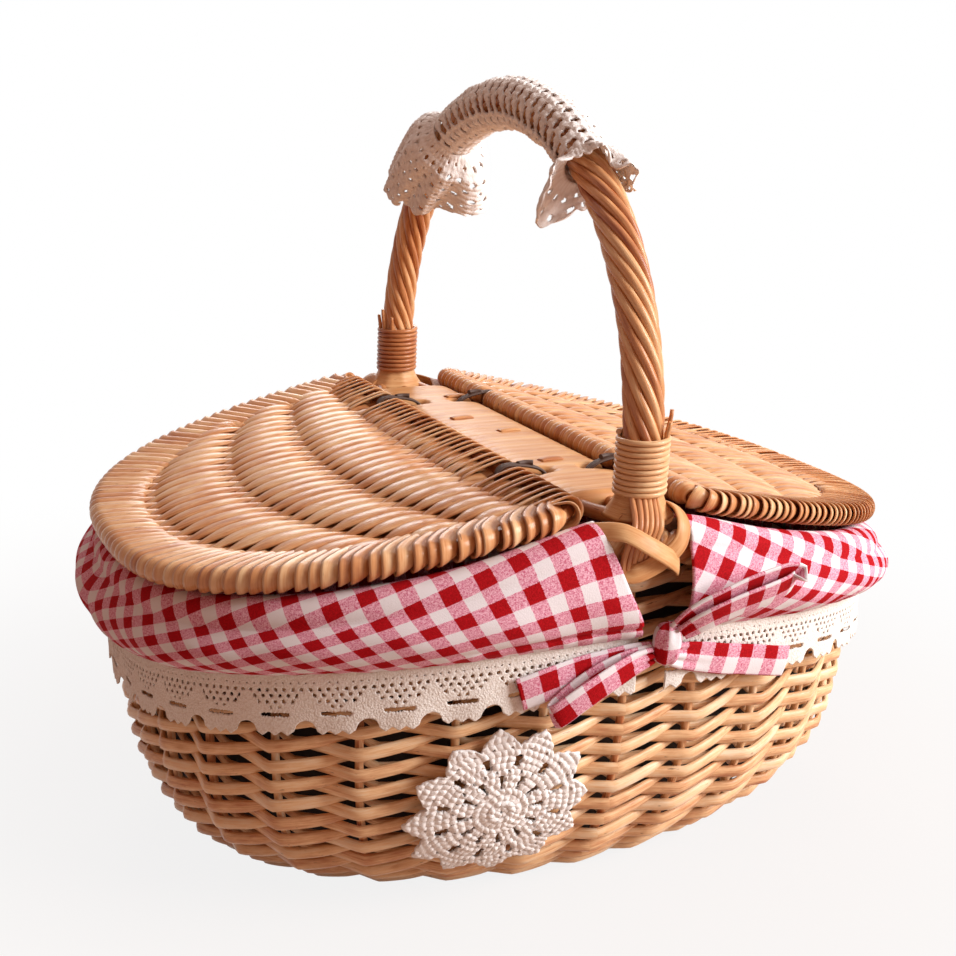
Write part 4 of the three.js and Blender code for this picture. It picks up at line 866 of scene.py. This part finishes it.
# knot: a ball with six soft pleats that twist round it
polar, turn = np.meshgrid(np.linspace(0.02, pi - 0.02, 44), np.linspace(0, 2 * pi, 73)[:-1], indexing="ij")
pleat = np.cos(6 * turn + 1.6 * np.cos(polar)) * np.abs(np.cos(polar)) ** 0.6
girth = np.sin(polar) ** 0.75 * (1 + 0.09 * pleat)
ball = stack(girth * np.cos(turn), -girth * np.sin(turn), np.cos(polar)) * knot["half"]
ball = ball + frontPoint(np.array(knot["x"]), np.array(knot["z"]), knot["out"])
ballUv = stack(np.linspace(0, 0.048, 73)[None], np.linspace(0.002, 0.028, 44)[:, None])
for place, by in (("front", 0), ("rear", pi)):
    for name, (points, uv) in ribbons.items():
        cloth = surface(turnAbout(points, by), uv)
        title = place + name.title().replace("_", "")
        piece = thicken(addPiece(title, [cloth], [gingham], [f"{place}_bow_{name}"]), 1.0)
        flat = tuple(round(float(np.ptp(uv[..., k])), 4) for k in (0, 1))
        held = "folded" if "loop" in name else "hung"
    tied = surface(turnAbout(ball, by), ballUv, False, True)
    addPiece(place + "Knot", [tied], [gingham], [place + "_bow_knot"])

print("stage: crochet")
doily = dict(x=-60.0, z=56.0, radius=42.5, petals=12, row=3.2, bob=2.9, out=3.0, relief=1.05, thick=1.4,
             rings=((12, 15.5, 2.6, 1.15, 0.16, 0.1), (12, 26.2, 1.6, 1.75, 0.1, 0.34),
                    (24, 21.2, 0, 0.6, 0, 0.2), (24, 32.6, 0, 0.75, 0, 0.47)))
# height on the wall by distance climbed
climbZ = np.linspace(2, 130, 600)
climbRun = lengths(frontPoint(np.full(600, doily["x"]), climbZ, 0.0))
climbRun -= np.interp(doily["z"], climbZ, climbRun)


# distance to the nearest opening, in rings: count, distance from the middle, half-length outwards,
# half-width, growth outwards and turn
def doilyHoles(u, v):
    r, a = np.hypot(u, v), np.arctan2(v, u)
    d = r - 0.9
    for count, ring, half, wide, growth, shift in doily["rings"]:
        near = np.round((a - shift) * count / (2 * pi)) * 2 * pi / count + shift
        side, deep = r * np.sin(a - near), r * np.cos(a - near) - ring
        edge = wide + growth * np.clip(deep, -half, half)
        d = np.minimum(d, np.hypot(side, np.maximum(np.abs(deep) - half, 0)) - edge)
    return d


a = np.linspace(0, 2 * pi, 481)
petal = 1 - np.abs((doily["petals"] * a / (2 * pi) + 0.3) % 1 * 2 - 1)  # pointed petals, sharp notches
edge = doily["radius"] * (0.785 + 0.2 * petal ** 0.9 + 0.03 * wander(a / (2 * pi), 4, 9) * petal)
r = edge[:, None] * np.linspace(0.012, 1, 80)[None]
u, v, keep = cutHoles(r * np.cos(a)[:, None], r * np.sin(a)[:, None], doilyHoles, 0.36)
r = np.hypot(u, v)
row = r / doily["row"]  # rows of bobbles, as many in each as fit round it
count = np.maximum(np.round(2 * pi * (np.floor(row) + 0.5) * doily["row"] / doily["bob"]), 6)
bob = np.abs(np.sin(0.5 * np.arctan2(v, u) * count + 2 * wander(r / 40, 3, 14)))
stitch = np.abs(np.sin(pi * row)) ** 0.7 * (0.3 + 0.7 * bob) * (1 + 0.4 * wander(u / 60 + v / 47, 9, 15))
out = doily["out"] + doily["relief"] * stitch + 0.8 * np.exp(-((r - 5) / 2.4) ** 2)
points = frontPoint(doily["x"] + u, np.interp(v, climbRun, climbZ), out)
disc = surface(points[:-1], stack(u, v) * 0.001, True, keep=keep)
piece = thicken(addPiece("crochetDoily", [disc], [crochet], ["crochet_doily"]), doily["thick"])

# cover: sleeve of stitches round the top of the bow, open in rows along its left and upper side, with a loose
# cuff at the far end and a frill at each end
cover = dict(ends=(-33, 46), ring=10.9, uvRing=10.6, pitch=7.2, cuff=42, sleeveEnd=38, thick=1.2,
             rows=((33.8, 0.0, 1.9, 2.5, 0.35), (26.4, 3.6, 1.2, 1.7, 0.2), (19.8, 0, 0.7, 1.4, 0),
                   (41.6, 3.6, 0.8, 1.1, 0), (47.5, 0, 0.3, 0.9, 0), (12, 3.6, 0.5, 1.1, 0),
                   (5, 0, 0.3, 0.9, 0)),
             frillPitch=5.76, frillRing=22, frillThick=1.0, clear=(16, 8))
coverFrom, coverTo = (float(np.interp(-legY * math.cos(pi / 2 + math.radians(end)), ropeLine[:, 1], ropeRun))
                      for end in cover["ends"])


# distance to the nearest opening, in rows: place round the bow, shift along it, half-length, half-width and
# slant
def coverHoles(u, v):
    d = np.full(u.shape, 9.0)
    half = cover["pitch"] / 2
    for middle, shift, long, wide, slope in cover["rows"]:
        x = (u - shift + slope * (v - middle) + half) % cover["pitch"] - half
        d = np.minimum(d, np.hypot(x, np.maximum(np.abs(v - middle) - long, 0)) - wide)
    return d


# bell-shaped share about a turn
def lobe(turn, degrees, wide):
    off = (turn - math.radians(degrees) + pi) % (2 * pi) - pi
    return np.exp(-(off / math.radians(wide)) ** 2)


# distance to the nearest of rows of round openings, each row shifted from the last
def frillHoles(u, v):
    d, pitch = np.full(u.shape, 9.0), cover["frillPitch"]
    for deep in range(4, 66, 5):
        near = np.round(u / pitch + 0.1 * deep) * pitch - 0.1 * pitch * deep
        d = np.minimum(d, np.hypot(u - near, v - deep) - (0.9 + 0.4 * (deep % 2)))
    return d


# loose cloth round the bow from a share of its fall to another: the far cuff hangs full with a flap inwards,
# the near frill parts into two flaps; both are waved and kept clear of the open lids
def looseCloth(side, start, low, high, rowCount):
    turn, s = np.linspace(0, 2 * pi, 181)[:, None], np.linspace(low, high, rowCount)[None]
    if side < 0:
        length = 5 + 7 * lobe(turn, 215, 44) + 16 * lobe(turn, 35, 50) + 6 * lobe(turn, 300, 45)
        radius = 11.2 + s ** 0.7 * (3 + 18 * lobe(turn, 215, 48))
    else:
        length = 52 - 26 * lobe(turn, 300, 55) - 8 * lobe(turn, 30, 50)
        radius = 12.0 + 7.5 * ease(0, 0.3, s) + s ** 0.7 * (1.5 + 15 * lobe(turn, 298, 36))
    length = length + 1.5 * np.abs(np.sin(11 * turn))
    fold = np.cos(6 * turn + 1.2 * np.sin(turn + side) + 0.6 * s) + 0.6 * np.cos(10 * turn + 2 * s)
    u, v = np.broadcast_arrays(turn * cover["frillRing"], s * length)
    u, v, keep = cutHoles(u, v, frillHoles, 0.3)
    bobble = 0.7 * np.abs(np.sin(pi * v / 3.1)) * (0.4 + 0.6 * np.abs(np.sin(pi * u / 2.9)))
    points = roundBow(start + side * (0.5 + v), turn + 0 * s, radius + 2.6 * s * fold + bobble)
    x, (free, more) = np.abs(points[..., 0]), cover["clear"]
    x = np.where(x < free, x, free + more * np.tanh((x - free) / more))
    points[..., 0] = np.sign(points[..., 0]) * x
    if side > 0:
        points, u, v, keep = points[::-1], u[::-1], v[::-1], keep[:, ::-1]
    return surface(points[:-1], stack(u, v) * 0.001, True, keep=keep)


u = np.arange(coverFrom, coverTo - cover["sleeveEnd"], 0.62)[:, None]
u, v = np.broadcast_arrays(u, np.linspace(0, 2 * pi * cover["uvRing"], 97)[None])
u, v, keep = cutHoles(u, v, coverHoles, 0.33)
turn = v / cover["uvRing"]
knit = 1.1 * np.abs(np.sin(pi * u / 3.6)) * (0.3 + 0.7 * np.abs(np.sin(pi * v / 3.3)))
puff = 0.8 * wander(u / 160, 6, 12) * np.cos(turn - 1) + 0.6 * wander(u / 160, 11, 13) * np.cos(2 * turn)
points = roundBow(u, turn, cover["ring"] + knit + puff)
sleeve = surface(points[:, :-1], stack(u, v) * 0.001, False, True, keep, False)
cuffFrom = coverTo - cover["cuff"]
cuff = looseCloth(1, cuffFrom, 0, 0.8, 52)
piece = thicken(addPiece("gripCover", [sleeve, cuff], [crochet], ["grip_cover"]), cover["thick"])
for name, frill, flat in (("front", looseCloth(-1, coverFrom, 0, 1, 40), (0.14, 0.015)),
                          ("rear", looseCloth(1, cuffFrom, 0.8, 1, 14), (0.14, 0.012))):
    piece = addPiece(name + "Frill", [frill], [crochet], ["grip_ruffle_" + name])
    thicken(piece, cover["frillThick"])

print("stage: studio")
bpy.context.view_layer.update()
view = dict(yaw=26.6, pitch=-15.775, roll=2.677, place=(-0.316201, -0.611901, 0.357438), lens=52.388,
            sensor=36)
studio = dict(floor=(0.5, 0.36, 0.28, 1), whiteFrom=(0.15, 0.86), whiteTo=(0.6, 1.0),
              ambient=(1, 0.51, 0.36, 1), ambientLight=0.28, aim=(0, 0, 0.15))
lamps = dict(key=((1.3, -1.05, 1.0), 1.0, 51, (1, 1, 1)), top=((0.3, 0.0, 1.7), 1.4, 6, (1, 0.9, 0.8)),
             back=((0.43, 1.5, 0.9), 0.6, 8, (1, 1, 1)))  # place, size, power and tint
scene = bpy.context.scene
scene.view_settings.view_transform = "Standard"


# matrix from a sideways, an upward and a forward direction and a place
def facing(aside, up, ahead, place):
    pose = np.eye(4)
    pose[:3, :3] = np.stack([aside, up, -ahead], 1)
    pose[:3, 3] = place
    return Matrix(pose.tolist())


camera = bpy.data.objects.new("camera", bpy.data.cameras.new("camera"))
scene.collection.objects.link(camera)
yaw, pitch, roll = (math.radians(view[turn]) for turn in ("yaw", "pitch", "roll"))
ahead = np.array([math.sin(yaw) * math.cos(pitch), math.cos(yaw) * math.cos(pitch), math.sin(pitch)])
level = np.array([math.cos(yaw), -math.sin(yaw), 0])
upright = np.cross(level, ahead)
aside, up = (math.cos(turn) * level + math.sin(turn) * upright for turn in (roll, roll + pi / 2))
camera.matrix_world = facing(aside, up, ahead, view["place"])
camera.data.lens, camera.data.sensor_width, camera.data.clip_start = view["lens"], view["sensor"], 0.01
scene.camera = camera

floor = bpy.data.objects.new("floor", bpy.data.meshes.new("floor"))
floor.data.from_pydata([(x, y, -0.0005) for x, y in ((-4, -4), (4, -4), (4, 4), (-4, 4))], [], [(0, 1, 2, 3)])
scene.collection.objects.link(floor)


# white by a share to camera, reflections and glass, ordinary to the rest
def seenWhite(tree, ordinary, white, share=1.0):
    rays = addNode(tree, "ShaderNodeLightPath").outputs
    total = rays["Is Camera Ray"]
    for name in ("Is Glossy Ray", "Is Transmission Ray"):
        total = addNode(tree, "ShaderNodeMath", {0: total, 1: rays[name]}, operation="MAXIMUM").outputs[0]
    total = addNode(tree, "ShaderNodeMath", {0: total, 1: share}, operation="MULTIPLY").outputs[0]
    return addNode(tree, "ShaderNodeMixShader", {0: total, 1: ordinary, 2: white}).outputs[0]


floorWhite = bpy.data.materials.new("floorWhite")
floorWhite.use_nodes = True
tree = floorWhite.node_tree
plain = fill(tree, tree.nodes["Principled BSDF"], {"Base Color": studio["floor"], "Roughness": 1.0})
glow = addNode(tree, "ShaderNodeEmission")
# the floor's own shading fades out away from the basket
place = addNode(tree, "ShaderNodeTexCoord").outputs["Object"]
far = addNode(tree, "ShaderNodeVectorMath", {0: place}, operation="LENGTH").outputs["Value"]
(near, low), (away, high) = studio["whiteFrom"], studio["whiteTo"]
fading = addNode(tree, "ShaderNodeMapRange", {0: far, 1: near, 2: away, 3: low, 4: high},
                 interpolation_type="SMOOTHSTEP").outputs[0]
shown = seenWhite(tree, plain.outputs[0], glow.outputs[0], fading)
tree.links.new(shown, tree.nodes["Material Output"].inputs[0])
floor.data.materials.append(floorWhite)

world = bpy.data.worlds.new("studio")
world.use_nodes = True
scene.world = world
tree = world.node_tree
ambient = fill(tree, tree.nodes["Background"], {0: studio["ambient"], 1: studio["ambientLight"]})
backdrop = addNode(tree, "ShaderNodeBackground", {0: (1, 1, 1, 1), 1: 1.0})
shown = seenWhite(tree, ambient.outputs[0], backdrop.outputs[0])
tree.links.new(shown, tree.nodes["World Output"].inputs[0])

for name, (place, size, power, tint) in lamps.items():
    lamp = bpy.data.objects.new(name, bpy.data.lights.new(name, "AREA"))
    lamp.data.size, lamp.data.energy, lamp.data.color = size, power, tint
    ahead = unit(np.array(studio["aim"]) - np.array(place))
    aside = unit(np.cross(ahead, upward))
    lamp.matrix_world = facing(aside, np.cross(aside, ahead), ahead, place)
    scene.collection.objects.link(lamp)
